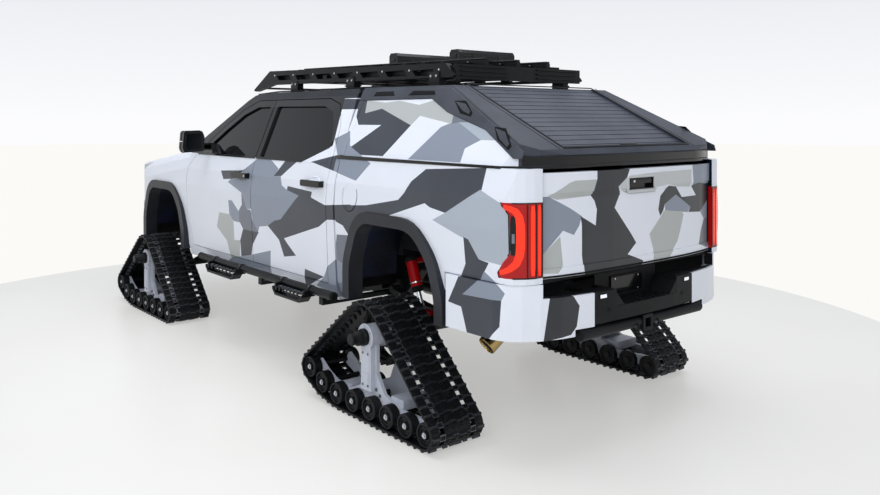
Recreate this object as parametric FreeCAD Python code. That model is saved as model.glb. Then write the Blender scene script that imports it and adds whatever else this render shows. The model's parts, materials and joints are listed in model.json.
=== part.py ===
"""Tracked pickup truck: a crew-cab pickup on four triangular rubber track units.

Millimetres. +X is forward, +Y is left, +Z is up. The origin is on the floor, on the centre
plane, halfway along the truck. Each function below makes one sub-part and saves its node.
"""
import FreeCAD, Part
import math
import os

os.makedirs("parts", exist_ok=True)

# ---------------------------------------------------------------- driving dimensions
NOSE_X = 2966.0             # foremost point of the front bumper
TAIL_X = -2966.0            # rearmost point of the rear bumper
FRONT_AXLE_X = 1950.0
REAR_AXLE_X = -1750.0
HUB_Z = 517.0               # height of all four hubs

SHUT_GAP = 6.0              # gap round doors, hood and tailgate
SEAT = 0.3                  # running fit between bodies that bear on each other

ROCKER_Z = 600.0            # underside of the cab sills
DOOR_Z = 705.0              # underside of the doors
BELT_Z = 1535.0             # window sill line
FRAME_TOP_Z = 2010.0        # top of the door frames
ROOF_Z = FRAME_TOP_Z + 100  # crown of the roof
SKIN_Y = 1000.0             # widest point of doors and bed sides
BELT_Y = 952.0              # half width at the window sill line
FRAME_TOP_Y = 755.0         # half width at the top of the door frames
DOOR_T = 105.0              # thickness of the lower side walls and doors
PILLAR_T = 52.0             # thickness of the window frames and pillars
DOOR_TAPER = 0.32           # slope of a door's rear edge, so it swings clear of the next panel

CAB_BACK_X = -1105.0
CAB_FRONT_X = 1400.0
BACK_WALL_T = 60.0
FLOOR_T = 40.0
DOOR_SPLIT_X = 121.0        # seam between front and rear doors
SCREEN_TOP_X = 560.0        # upper edge of the windscreen
GLASS_T = 6.0

BED_FRONT_X = -1125.0
BED_BACK_X = -2890.0
BED_RAIL_Z = 1583.0
BED_RAIL_Y = 948.0
BED_SIDE_Y = 870.0          # inner face of the bed sides
BED_FLOOR_Z = 990.0
GATE_Y = 805.0              # half width of the tailgate
GATE_X = -2900.0            # outer face of the tailgate, before its bulge
GATE_T = 62.0
GATE_TOP_Z = 1558.0

FLARE_W = 75.0
FLARE_Y = 1018.0
ARCH_TOP_Z = 1248.0         # top of the flare round each arch
LINER_T = 12.0

RAIL_Y = 400.0              # middle of each chassis rail
RAIL_W = 76.0
RAIL_H = 146.0
RAIL_TOP_Z = 690.0

TRACK_OUT_Y = 1210.0
TRACK_IN_Y = 826.0
ROLLER_R = 70.0
BELT_T = 12.0               # thickness of the belt between its lugs
LUG_H = 14.0
LUG_COUNT = 54
SPROCKET_R = 198.0          # radius that carries the belt over the hub
IDLER_X = 620.0             # raised front wheel, from the hub
IDLER_Z = 194.0
KINGPIN_Y = 745.0
SPINDLE_R = 42.0

RACK_Y = 600.0              # middle of the roof rack's side rails
RACK_T = 44.0
CAP_TOP_Z = 2070.0
CAP_KNEE_X = -2060.0
CAP_END_Z = 1683.0
CAP_HIGH = CAP_TOP_Z + 48
CAP_COVER_Y = 595.0         # half width of the slatted cover

# ---------------------------------------------------------------- derived dimensions
BELT_OUT = BELT_T + LUG_H
GROUND_Z = BELT_OUT + ROLLER_R
TRACK_MID_Y = (TRACK_OUT_Y + TRACK_IN_Y) / 2
TAN_SIDE = (BELT_Y - FRAME_TOP_Y) / (FRAME_TOP_Z - BELT_Z)
BUMPER_SPLIT_Y = 470.0      # seam between the bumper's black middle and its painted ends
TAIL_PLAN = [(-2700, 1040), (-2760, 992), (-2815, 962), (-2852, 915), (-2872, 865)]
CAP_PLAN = [(BED_FRONT_X + 60, 1000), (-2600, 1000), (-2700, 945), (-2790, 880), (-2850, 800), (-2885, 600)]
BUMPER_PLAN = [(-2962, 260), (-2948, 500), (-2918, 700), (-2878, 825), (-2828, 915), (-2765, 975), (-2690, 1002),
               (-2310, 1006)]
BODY_SECTION = [(945, ROCKER_Z), (972, 700), (984, 950), (SKIN_Y, 1250), (988, 1400), (BELT_Y, BELT_Z)]


# ---------------------------------------------------------------- shape helpers
def vec(x, y, z):
    """A point or direction."""
    return FreeCAD.Vector(x, y, z)


def box(x0, x1, y0, y1, z0, z1):
    """A box between two corners."""
    low = vec(min(x0, x1), min(y0, y1), min(z0, z1))
    return Part.makeBox(abs(x1 - x0), abs(y1 - y0), abs(z1 - z0), low)


def rod(a, b, r):
    """A round bar from point a to point b."""
    start = vec(*a)
    way = vec(*b) - start
    return Part.makeCylinder(r, way.Length, start, way)


def ring(a, b, r, hole):
    """A round tube from point a to point b."""
    return rod(a, b, r).cut(rod(a, b, hole))


def flat(points):
    """A flat face from its corner points."""
    corners = [vec(*p) for p in points]
    return Part.Face(Part.makePolygon(corners + [corners[0]]))


def side_prism(outline, y0, y1):
    """An outline drawn in side view (x, z), carried from y0 to y1."""
    return flat([(x, y0, z) for x, z in outline]).extrude(vec(0, y1 - y0, 0))


def cross_prism(outline, x0, x1, drop=0.0):
    """An outline drawn in cross-section (y, z), carried from x0 to x1."""
    return flat([(x0, y, z) for y, z in outline]).extrude(vec(x1 - x0, 0, -drop))


def plan_prism(outline, z0, z1):
    """An outline drawn in plan (x, y), carried from z0 to z1."""
    return flat([(x, y, z0) for x, y in outline]).extrude(vec(0, 0, z1 - z0))


def mirrored(half):
    """The closed outline made of a half outline (y, z) and its mirror image."""
    return half + [(-y, z) for y, z in reversed(half)]


def other_side(shape):
    """The same shape on the right of the truck."""
    return shape.mirror(vec(0, 0, 0), vec(0, 1, 0))


def both_sides(shape):
    """The shape and its mirror image."""
    return [shape, other_side(shape)]


def rounded(points, radius):
    """A closed (x, z) outline whose corners are rounded by short chords of one radius."""
    result = []
    count = len(points)
    for i in range(count):
        here = vec(points[i][0], points[i][1], 0)
        before = vec(points[i - 1][0], points[i - 1][1], 0)
        after = vec(points[(i + 1) % count][0], points[(i + 1) % count][1], 0)
        to_before = (before - here).normalize()
        to_after = (after - here).normalize()
        half = to_before.getAngle(to_after) / 2
        reach = min(radius / math.tan(half), (before - here).Length * 0.49, (after - here).Length * 0.49)
        start = here + to_before * reach
        end = here + to_after * reach
        for t in (0.0, 0.25, 0.5, 0.75, 1.0):
            p = start * (1 - t) ** 2 + here * (2 * t * (1 - t)) + end * t ** 2
            result.append((p.x, p.y))
    return result


def grown(outline, by):
    """A closed (x, z) outline moved outwards by a distance, or inwards if it is negative."""
    face = flat([(x, z, 0) for x, z in outline])
    moved = face.makeOffset2D(by, 2)
    wire = moved.OuterWire if hasattr(moved, "OuterWire") else moved
    return [(v.X, v.Y) for v in wire.OrderedVertexes]


def fuse(shapes):
    """One shape from several that touch."""
    whole = shapes[0]
    for shape in shapes[1:]:
        whole = whole.fuse(shape)
    return whole.removeSplitter()


def solids(shape):
    """The separate solids of a shape."""
    return list(shape.Solids)


def save(node, shapes):
    """Write one node from a shape or a list of shapes."""
    if not isinstance(shapes, list):
        shapes = [shapes]
    pieces = []
    for shape in shapes:
        pieces.extend(solids(shape))
    whole = pieces[0] if len(pieces) == 1 else Part.makeCompound(pieces)
    whole.exportStep("parts/%s.step" % node)


# ---------------------------------------------------------------- cab
def cab_outline():
    """Side view of the cab's outside."""
    return [(CAB_BACK_X, ROCKER_Z), (CAB_FRONT_X, ROCKER_Z), (CAB_FRONT_X, 1590), (SCREEN_TOP_X, 2052),
            (400, 2084), (0, ROOF_Z - 4), (-400, ROOF_Z), (-800, ROOF_Z - 12), (-1010, 2072),
            (-1040, 2040), (CAB_BACK_X, 1560)]


def upper_section():
    """Half cross-section of the cab above the sill line."""
    return [(FRAME_TOP_Y, FRAME_TOP_Z), (715, 2068), (560, 2092), (300, ROOF_Z - 4), (0, ROOF_Z)]


def inner_section(extra=0.0):
    """Half cross-section of the cabin space, made narrower by an extra distance."""
    low = [(y - DOOR_T, z) for y, z in BODY_SECTION]
    low[0] = (low[1][0], DOOR_Z - 5)
    sill = (BELT_Y - DOOR_T, BELT_Z - 40)
    shelf = (BELT_Y - PILLAR_T, BELT_Z - 20)
    high = [(y - PILLAR_T, z - 46) for y, z in upper_section()]
    high[-1] = (0, ROOF_Z - 46)
    whole = low[:-1] + [sill, shelf] + high
    return [(max(y - extra, 0), z) for y, z in whole]


def cab_block():
    """The cab's outside as one block."""
    section = mirrored(BODY_SECTION + upper_section()[:-1] + [(0.0, ROOF_Z)])
    block = cross_prism(section, CAB_BACK_X, CAB_FRONT_X)
    return block.common(side_prism(cab_outline(), -1200, 1200))


def cab_space():
    """The room inside the cab, closed at the back wall, firewall and windscreen."""
    room = cross_prism(mirrored(inner_section()), CAB_BACK_X + BACK_WALL_T, CAB_FRONT_X - 60)
    slope = [(CAB_BACK_X + BACK_WALL_T, DOOR_Z - 5), (CAB_FRONT_X - 60, DOOR_Z - 5), (CAB_FRONT_X - 60, 1545),
             (SCREEN_TOP_X - 30, 2005), (350, 2040), (-990, 2040), (-1010, 2000), (CAB_BACK_X + BACK_WALL_T, 1560)]
    return room.common(side_prism(slope, -1200, 1200))


def side_tube(extra=0.0):
    """The side walls alone: the cab's outside less the room carried right through."""
    room = cross_prism(mirrored(inner_section(extra)), CAB_BACK_X - 10, CAB_FRONT_X + 10)
    return cab_block().cut(room)


def middle_pillar():
    """Left pillar between the doors, behind their inner faces."""
    wide = cross_prism(inner_section(SHUT_GAP), DOOR_SPLIT_X - 60, DOOR_SPLIT_X + 60)
    narrow = cross_prism(inner_section(SHUT_GAP + 46), DOOR_SPLIT_X - 70, DOOR_SPLIT_X + 70)
    lower = box(-1000, 1000, 500, 1000, DOOR_Z - 5, ROOF_Z - 90)
    top = box(DOOR_SPLIT_X - 60, DOOR_SPLIT_X + 60, 632, 668, 1985, ROOF_Z).common(cab_space())
    return wide.cut(narrow).common(lower).fuse(top)


def hinge_boss(front_x):
    """Two bosses behind a left door's front edge that carry its hinges."""
    bosses = []
    for z in (1010, 1230):
        strip = box(front_x - 34, front_x - 4, 700, 1000, z, z + 60)
        near = cross_prism(inner_section(SEAT), front_x - 40, front_x)
        far = cross_prism(inner_section(SHUT_GAP + 8), front_x - 40, front_x)
        bosses.append(strip.common(near).cut(far))
    return bosses


def door_outline(which):
    """Side view of a door's edge."""
    half = SHUT_GAP / 2
    if which == "front":
        front = CAB_FRONT_X - SHUT_GAP
        points = [(DOOR_SPLIT_X + half, DOOR_Z), (1290, DOOR_Z), (front, 1000), (front, 1330), (1345, 1450),
                  (1260, 1545), (890, 1790), (640, 1930), (420, 2003), (DOOR_SPLIT_X + half, 2004)]
    else:
        points = [(DOOR_SPLIT_X - half, DOOR_Z), (DOOR_SPLIT_X - half, 2004), (-700, 2000), (-860, 1955),
                  (-960, 1800), (-1005, 1540), (-1010, 1200), (-1000, DOOR_Z)]
    return points


def skin_y(z):
    """Half width of the cab's side at a height."""
    line = BODY_SECTION + [(FRAME_TOP_Y, FRAME_TOP_Z)]
    for (y0, z0), (y1, z1) in zip(line, line[1:]):
        if z <= z1:
            return y0 + (y1 - y0) * (z - z0) / (z1 - z0)
    return FRAME_TOP_Y


def tapered(outline):
    """A prism through the side wall whose rear edge moves forward on its way inward."""
    out_y = 1200.0
    run = 900.0
    points = []
    for (x0, z0), (x1, z1) in zip(outline, outline[1:] + outline[:1]):
        points.append((x0, z0))
        bends = sorted((z for z in (1250.0, BELT_Z) if (z0 - z) * (z1 - z) < 0), reverse=z1 < z0)
        points.extend((x0 + (x1 - x0) * (z - z0) / (z1 - z0), z) for z in bends)
    moved = [vec(x - DOOR_TAPER * (out_y - skin_y(z)), out_y, z) for x, z in points]
    return flat(moved).extrude(vec(DOOR_TAPER * run, -run, 0))


def window_outline(which):
    """Side view of a door's window."""
    if which == "front":
        points = [(DOOR_SPLIT_X + 62, BELT_Z + 8), (800, BELT_Z + 6), (940, BELT_Z + 92), (1040, BELT_Z + 92),
                  (840, 1755), (610, 1885), (400, 1950), (DOOR_SPLIT_X + 62, 1952)]
    else:
        points = [(DOOR_SPLIT_X - 62, BELT_Z + 8), (DOOR_SPLIT_X - 62, 1952), (-660, 1946), (-795, 1905),
                  (-880, 1780), (-925, 1640), (-930, BELT_Z + 14)]
    return rounded(points, 18)


def door(which):
    """A left door with its window cut, its handle and its pane of glass."""
    wall = side_tube()
    edge = side_prism(door_outline(which), 300, 1200)
    window = side_prism(window_outline(which), 300, 1200)
    panel = wall.common(edge).common(tapered(door_outline(which))).cut(window)
    handle_x = DOOR_SPLIT_X + (40 if which == "front" else -1085)
    base = [(handle_x, 1372), (handle_x + 250, 1372), (handle_x + 250, 1412), (handle_x, 1412)]
    grip = side_prism(rounded(base, 14), 970, 1026)
    slot = box(handle_x + 45, handle_x + 190, 1000, 1014, 1360, 1425)
    panel = fuse([panel, grip.cut(slot)])
    pane = window_pane(window)
    return panel, pane


def window_pane(window):
    """A flat pane that fills a side window, set in from the outer face."""
    inset = 18.0
    slab = [(BELT_Y - inset, BELT_Z), (BELT_Y - inset - GLASS_T, BELT_Z),
            (FRAME_TOP_Y - inset - GLASS_T, FRAME_TOP_Z), (FRAME_TOP_Y - inset, FRAME_TOP_Z)]
    return cross_prism(slab, CAB_BACK_X, CAB_FRONT_X).common(window)


def mirror_outline():
    """Front view of a door mirror's head."""
    return rounded([(1022, 1570), (1205, 1560), (1218, 1600), (1205, 1745), (1040, 1748), (1018, 1700)], 22)


def door_mirror():
    """A left door mirror: head, arm and the base that sits on the door's corner."""
    head = cross_prism(mirror_outline(), 955, 1040)
    arm = box(985, 1025, 930, 1040, 1590, 1625)
    base = side_prism([(945, 1548), (1130, 1548), (1040, 1640), (970, 1640)], 880, 950)
    wall = cross_prism(BODY_SECTION[-1:] + [(FRAME_TOP_Y, FRAME_TOP_Z), (300, FRAME_TOP_Z), (300, BELT_Z)],
                       CAB_BACK_X, CAB_FRONT_X)
    return fuse([head, arm, base]).cut(wall)


def make_doors():
    """Four doors with their glass, and the two door mirrors."""
    for which in ("front", "rear"):
        panel, pane = door(which)
        save("door_%s_left" % which, panel)
        save("door_%s_right" % which, other_side(panel))
        save("door_glass_%s_left" % which, pane)
        save("door_glass_%s_right" % which, other_side(pane))
    head = door_mirror()
    save("mirror_left", head)
    save("mirror_right", other_side(head))


def screen_opening():
    """The windscreen's opening, and the back window's opening."""
    front = [(690, 1625), (655, 2012), (-655, 2012), (-690, 1625)]
    front[0] = (770, 1625)
    front[3] = (-770, 1625)
    back = [(640, 1600), (590, 1985), (-590, 1985), (-640, 1600)]
    return cross_prism(front, 450, CAB_FRONT_X), cross_prism(back, CAB_BACK_X - 20, -900)


def make_cab():
    """Floor and end walls, side frames, roof and fixed glass."""
    shell = cab_block().cut(cab_space())
    for which in ("front", "rear"):
        hole = side_prism(grown(door_outline(which), SHUT_GAP), 300, 1200)
        wall_only = side_tube(SHUT_GAP).common(hole)
        shell = shell.cut(wall_only).cut(other_side(wall_only))
    front, back = screen_opening()
    shell = shell.cut(front).cut(back)
    posts = [middle_pillar()] + hinge_boss(DOOR_SPLIT_X - SHUT_GAP / 2) + hinge_boss(CAB_FRONT_X - SHUT_GAP)
    hood_bosses = [box(CAB_FRONT_X - 10, HOOD_BACK_X - SEAT, y - 40, y + 40, 1530, 1575) for y in (700, -700)]
    roof_zone = box(-1300, 1500, -1200, 1200, FRAME_TOP_Z + 6, ROOF_Z + 200)
    tub_zone = box(CAB_BACK_X - 5, CAB_FRONT_X + 5, -840, 840, ROCKER_Z - 5, 1600)
    tub_zone = tub_zone.fuse(box(CAB_BACK_X - 5, -900, -680, 680, 1590, FRAME_TOP_Z + 6))
    under = box(-1300, 1500, -835, 835, ROCKER_Z - 10, DOOR_Z - 5 - FLOOR_T)
    save("cab_roof", shell.common(roof_zone))
    save("cab_tub", fuse([shell.common(tub_zone).cut(under)] + hood_bosses))
    sides = shell.cut(roof_zone).cut(tub_zone)
    for post in posts:
        sides = sides.fuse(post.cut(tub_zone)).fuse(other_side(post).cut(tub_zone))
    save("cab_sides", sides.removeSplitter())
    run = CAB_FRONT_X - SCREEN_TOP_X
    rise = 2052 - 1590
    slab = [(CAB_FRONT_X, 1590 - 16), (CAB_FRONT_X, 1590 - 16 - 2 * GLASS_T),
            (SCREEN_TOP_X - 0.1 * run, 2052 + 0.1 * rise - 16 - 2 * GLASS_T), (SCREEN_TOP_X - 0.1 * run, 2052 + 0.1 * rise - 16)]
    screen = side_prism(slab, -800, 800).common(front)
    lean = (-1040 - CAB_BACK_X) / (2040 - 1560)
    pane = [(CAB_BACK_X + 20, 1560), (CAB_BACK_X + 26, 1560), (CAB_BACK_X + 26 + lean * 460, 2020),
            (CAB_BACK_X + 20 + lean * 460, 2020)]
    rear_pane = side_prism(pane, -800, 800).common(back)
    save("cab_glass", [screen, rear_pane])


def make_interior():
    """Seats, and the dashboard with its console and steering wheel."""
    floor_z = DOOR_Z - 5
    seats = []
    for y in (420, -420):
        seats.append(seat(300, y, 500, floor_z))
    seats.append(seat(-640, 0, 1380, floor_z))
    save("seats", seats)
    dash = side_prism([(1040, 1240), (1340, 1100), (1340, 1500), (1180, 1510), (1060, 1440)], -835, 835)
    console = box(330, 1120, -105, 105, floor_z, 1010).fuse(box(1040, 1250, -105, 105, floor_z, 1260))
    hub = vec(900, 420, 1330)
    tilt = vec(-0.88, 0, 0.48)
    rim = Part.makeTorus(180, 16, hub, tilt)
    boss = Part.makeCylinder(46, 40, hub - tilt * 20, tilt)
    column = rod((900, 420, 1330), (1130, 420, 1205), 26)
    spokes = [rod((900, 420, 1330), (900, 420 + s * 180, 1330), 13) for s in (-1, 1)]
    wheel = fuse([boss, column, rim] + spokes)
    save("dashboard", fuse([dash, console, wheel]))


def seat(x, y, width, floor_z):
    """A seat with base, cushion, back and headrests; x is the front of its back rest."""
    half = width / 2
    base = box(x + 60, x + 420, y - half + 40, y + half - 40, floor_z, floor_z + 190)
    cushion = box(x - 40, x + 500, y - half, y + half, floor_z + 190, floor_z + 330)
    back = [(x - 20, floor_z + 200), (x + 90, floor_z + 330), (x - 60, floor_z + 900), (x - 190, floor_z + 900)]
    rest = side_prism(back, y - half + 12, y + half - 12)
    heads = []
    places = [y] if width < 900 else [y - 420, y + 420]
    for place in places:
        post = box(x - 150, x - 100, place - 60, place + 60, floor_z + 880, floor_z + 950)
        pad = side_prism([(x - 85, floor_z + 940), (x - 165, floor_z + 940), (x - 185, floor_z + 1090),
                          (x - 115, floor_z + 1090)], place - 125, place + 125)
        heads.extend([post, pad])
    return fuse([base, cushion, rest] + heads)


# ---------------------------------------------------------------- front end
HOOD_BACK_X = CAB_FRONT_X + SHUT_GAP
FRONT_RUN = NOSE_X - 30 - HOOD_BACK_X
HOOD_DROP = 205.0
HOOD_Y = 842.0              # half width of the hood
FENDER_T = 58.0             # thickness of the hood and fenders with their frames


def front_section(inset):
    """Half cross-section of the front end at the cowl."""
    low = [(945, 640), (972, 745), (984, 990), (SKIN_Y, 1270), (990, 1400), (955, 1500), (905, 1552)]
    top = [(850, 1580), (600, 1606), (300, 1622), (0, 1628)]
    low = [(y - inset, z) for y, z in low]
    low[-1] = (low[-1][0], low[-1][1] - inset)
    return low + [(y, z - inset) for y, z in top]


def front_plan():
    """Plan view of the nose."""
    half = [(HOOD_BACK_X, 1030), (2300, 1016), (2560, 966), (2740, 898), (2840, 820), (2900, 690), (2925, 450),
            (2935, 0)]
    return half + [(x, -y) for x, y in reversed(half[:-1])]


def front_block(inset):
    """The front end as one block, or the same block made smaller all round."""
    block = cross_prism(mirrored(front_section(inset)), HOOD_BACK_X, HOOD_BACK_X + FRONT_RUN, HOOD_DROP)
    side = [(HOOD_BACK_X, 640), (NOSE_X, 640), (NOSE_X, 1340), (2860, 1400), (2700, 1440), (HOOD_BACK_X, 1640)]
    block = block.common(side_prism(side, -1200, 1200))
    plan = plan_prism(front_plan(), 500, 1800)
    if inset:
        shift = plan.copy()
        shift.translate(vec(-inset, 0, 0))
        plan = plan.common(shift)
    return block.common(plan)


def hood_outline():
    """Plan view of the hood's edge."""
    half = [(HOOD_BACK_X, HOOD_Y), (2200, HOOD_Y - 12), (2560, HOOD_Y - 60), (2700, HOOD_Y - 130),
            (2740, HOOD_Y - 330), (2752, 0)]
    return half + [(x, -y) for x, y in reversed(half[:-1])]


def lamp_outline():
    """Side view of a headlamp."""
    return [(2470, 1412), (NOSE_X, 1350), (NOSE_X, 1130), (2700, 1130), (2620, 1250), (2560, 1350)]


def make_front():
    """Hood, front fenders, grille and headlamps."""
    outer = front_block(0.0)
    shell = outer.cut(front_block(FENDER_T))
    hood_zone = plan_prism(hood_outline(), 1250, 1700)
    hood = shell.common(hood_zone).common(box(1000, 3000, -900, 900, 1300, 1700))
    save("hood", hood)
    gap = plan_prism(grown(hood_outline(), SHUT_GAP), 1200, 1700)
    lamp_zone = side_prism(lamp_outline(), 560, 1200)
    lamp = outer.common(lamp_zone).common(box(2400, 3000, 560, 1200, 1100, 1500)).cut(gap)
    lamp = lamp.cut(front_block(150.0))
    save("headlamps", both_sides(lamp))
    mouth = box(2700, 3000, -550, 550, 999, 1386)
    bumper = box(2560, 3100, -1200, 1200, 500, 1000)
    fender = shell.cut(gap).cut(lamp_zone).cut(other_side(lamp_zone)).cut(mouth).cut(bumper)
    fender = fender.cut(side_prism(arch_outline(FRONT_AXLE_X, 0.0), 560, 1200))
    fender = fender.cut(side_prism(arch_outline(FRONT_AXLE_X, 0.0), -1200, -560))
    save("front_fenders", fender)
    save("grille", grille())


def grille():
    """A ring with cross bars and uprights."""
    back = 2840.0
    front = NOSE_X - 44
    zone = box(back, front, -550, 550, 1006, 1386)
    ring_shape = zone.cut(box(back - 1, front + 1, -500, 500, 1052, 1340))
    pieces = [ring_shape]
    for i in range(4):
        z = 1090 + i * 68
        pieces.append(box(back + 20, front - 18, -510, 510, z, z + 26))
    for y in (-260, 0, 260):
        pieces.append(box(back + 30, front - 26, y - 12, y + 12, 1045, 1345))
    return fuse(pieces)


def make_front_bumper():
    """Front bumper with an air mouth and a skid plate."""
    half = [(2570, 962), (2680, 926), (2780, 876), (2880, 768), (2940, 540), (NOSE_X, 300)]
    plan = half + [(x, -y) for x, y in reversed(half)]
    block = plan_prism(plan, 640, 998)
    hollow = plan_prism([(x - 70, y * 0.93) for x, y in plan], 600, 1100)
    shell = block.cut(hollow).cut(box(2400, 2800, -700, 700, 500, 1100))
    mouth = box(2700, 3100, -420, 420, 760, 880)
    skid = side_prism([(2600, 560), (2620, 545), (2930, 640), (2930, 665), (2880, 665)], -430, 430)
    horns = [box(2600, 2905, y - 38, y + 38, 640, 760) for y in (RAIL_Y, -RAIL_Y)]
    beam = box(2838, 2905, -560, 560, 655, 740)
    save("front_bumper", fuse([shell.cut(mouth), skid, beam] + horns))


# ---------------------------------------------------------------- arches
def arch_outline(axle_x, inset):
    """Side view of a wheel arch, at the outside of the flare less an inset."""
    points = [(490, 160), (500, 900), (400, 1165), (285, ARCH_TOP_Z), (-265, ARCH_TOP_Z), (-455, 1049),
              (-540, 810), (-540, 160)]
    outline = rounded(points, 420)
    if inset:
        outline = grown(outline, -inset)
    return [(axle_x + x, z) for x, z in outline]


def make_flares():
    """Flares round the four arches, and the liners behind them."""
    flares = []
    liners = []
    for axle_x in (FRONT_AXLE_X, REAR_AXLE_X):
        outer = side_prism(arch_outline(axle_x, 0.0), 905, FLARE_Y)
        inner = side_prism(arch_outline(axle_x, FLARE_W), 800, 1100)
        keep = box(axle_x - 700, axle_x + 700, 800, 1100, 655, 1300)
        flares.extend(both_sides(outer.cut(inner).common(keep)))
        wall = side_prism(arch_outline(axle_x, FLARE_W - LINER_T), 620, 905)
        room = side_prism(arch_outline(axle_x, FLARE_W), 500, 1000)
        high = box(axle_x - 700, axle_x + 700, 500, 1000, 780, 1300)
        liners.extend(both_sides(wall.cut(room).common(high)))
    save("fender_flares", flares)
    save("wheel_liners", liners)


# ---------------------------------------------------------------- load bed
def bed_section():
    """Cross-section of the left bed side."""
    outer = [(940, 640), (972, 730), (984, 950), (SKIN_Y, 1250), (988, 1420), (BED_RAIL_Y, BED_RAIL_Z)]
    return outer + [(GATE_Y + SHUT_GAP, BED_RAIL_Z), (GATE_Y + SHUT_GAP, 640)]


def side_plan():
    """Plan of the left bed side: a wall, its rounded rear corner and the post beside the tailgate."""
    post_x = GATE_X + GATE_T + 2
    inner = [(-2878, GATE_Y + SHUT_GAP), (post_x, GATE_Y + SHUT_GAP), (post_x, BED_SIDE_Y), (BED_FRONT_X, BED_SIDE_Y)]
    return [(BED_FRONT_X, 1040)] + TAIL_PLAN + inner


def lamp_block():
    """The corner taken by the left tail lamp, hooked forwards at its top and foot."""
    side = [(-2740, 1405), (-2752, 1386), (-2792, 1342), (-2797, 1136), (-2716, 1030), (-2722, 1002)]
    return side_prism(side + [(-2990, 1002), (-2990, 1405)], GATE_Y, 1100)


def make_bed():
    """Bed floor with its front wall and wheel boxes, bed sides and tail lamps."""
    side = cross_prism(bed_section(), BED_FRONT_X, BED_BACK_X).common(plan_prism(side_plan(), 600, 1600))
    lamp = side.common(lamp_block())
    arch = side_prism(arch_outline(REAR_AXLE_X, 0.0), 800, 1100)
    low_front = box(BED_FRONT_X + 10, -1400, 800, 1100, 600, 660)
    low_back = box(-2270, BED_BACK_X - 10, 800, 1100, 600, 970)
    side = side.cut(lamp_block()).cut(arch).cut(low_front).cut(low_back)
    save("bed_sides", both_sides(side))
    save("tail_lamps", both_sides(lamp))
    floor = box(BED_FRONT_X, GATE_X + GATE_T + SHUT_GAP, -BED_SIDE_Y, BED_SIDE_Y, BED_FLOOR_Z - 34, BED_FLOOR_Z)
    wall = box(BED_FRONT_X, BED_FRONT_X - 40, -BED_SIDE_Y, BED_SIDE_Y, BED_FLOOR_Z, BED_RAIL_Z - 10)
    pieces = [floor, wall]
    for x in (-1350, -2150, -2600):
        pieces.append(box(x - 45, x + 45, -BED_SIDE_Y, BED_SIDE_Y, BED_FLOOR_Z - 80, BED_FLOOR_Z - 34))
    for y in (720, -720):
        pieces.append(box(GATE_X + GATE_T + SEAT, GATE_X + GATE_T + 60, y - 35, y + 35, BED_FLOOR_Z - 30, 1012))
    tub = fuse(pieces)
    for sign in (1, -1):
        house = side_prism(arch_outline(REAR_AXLE_X, FLARE_W - LINER_T - 14), sign * 600, sign * BED_SIDE_Y)
        room = side_prism(arch_outline(REAR_AXLE_X, FLARE_W - LINER_T), sign * 614, sign * 1000)
        tub = tub.fuse(house.common(box(-3000, 0, -900, 900, BED_FLOOR_Z - 34, 1400))).cut(room)
    save("bed_tub", tub.removeSplitter())


def gate_layer(step, z0, z1):
    """A band of the bowed tailgate between two heights, its face set forwards by a step."""
    half = [(GATE_X - 20, 0), (GATE_X - 18, 250), (GATE_X - 8, 480), (GATE_X + 12, 670), (GATE_X + 38, GATE_Y)]
    back = GATE_X + GATE_T
    plan = [(x + step, y) for x, y in half] + [(back, GATE_Y), (back, -GATE_Y)]
    plan = plan + [(x + step, -y) for x, y in reversed(half[1:])]
    return plan_prism(plan, z0, z1)


def make_tailgate():
    """Bowed tailgate with a proud upper band, a foot flange and a handle recess."""
    bottom = BED_FLOOR_Z - 2
    layers = [gate_layer(6, bottom, 1040), gate_layer(12, 1040, 1430), gate_layer(6, 1430, 1445),
              gate_layer(0, 1445, GATE_TOP_Z)]
    recess = box(GATE_X - 40, GATE_X + 16, -118, 118, 1436, 1504)
    paddle = box(GATE_X - 8, GATE_X + 30, -100, 100, 1470, 1498)
    save("tailgate", fuse([fuse(layers).cut(recess), paddle]))


# ---------------------------------------------------------------- cap over the bed
def cap_y(z):
    """Half width of the cap at a height."""
    return BED_RAIL_Y - 0.45 * (z - BED_RAIL_Z)


def cap_outline(drop):
    """Side view of the cap's top line, moved down by a distance."""
    return [(BED_FRONT_X + 22, CAP_TOP_Z - drop), (CAP_KNEE_X, CAP_TOP_Z - 10 - drop), (-2850, CAP_END_Z - drop),
            (-2893, 1640 - drop)]


def fascia_outline():
    """Side view of the lower edge of the cap's dark frame."""
    return [(BED_FRONT_X + 22, CAP_TOP_Z - 92), (-1900, CAP_TOP_Z - 95), (-2096, 1889), (-2481, 1786), (-2780, 1630),
            (-2893, 1584)]


def cap_plan(shift):
    """Plan of the cap with its rounded rear corners, moved forwards by a distance."""
    half = CAP_PLAN + [(-2893, 0)]
    plan = half + [(x, -y) for x, y in reversed(half[:-1])]
    return plan_prism([(x + shift, y) for x, y in plan], 1500, CAP_HIGH + 100)


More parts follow.
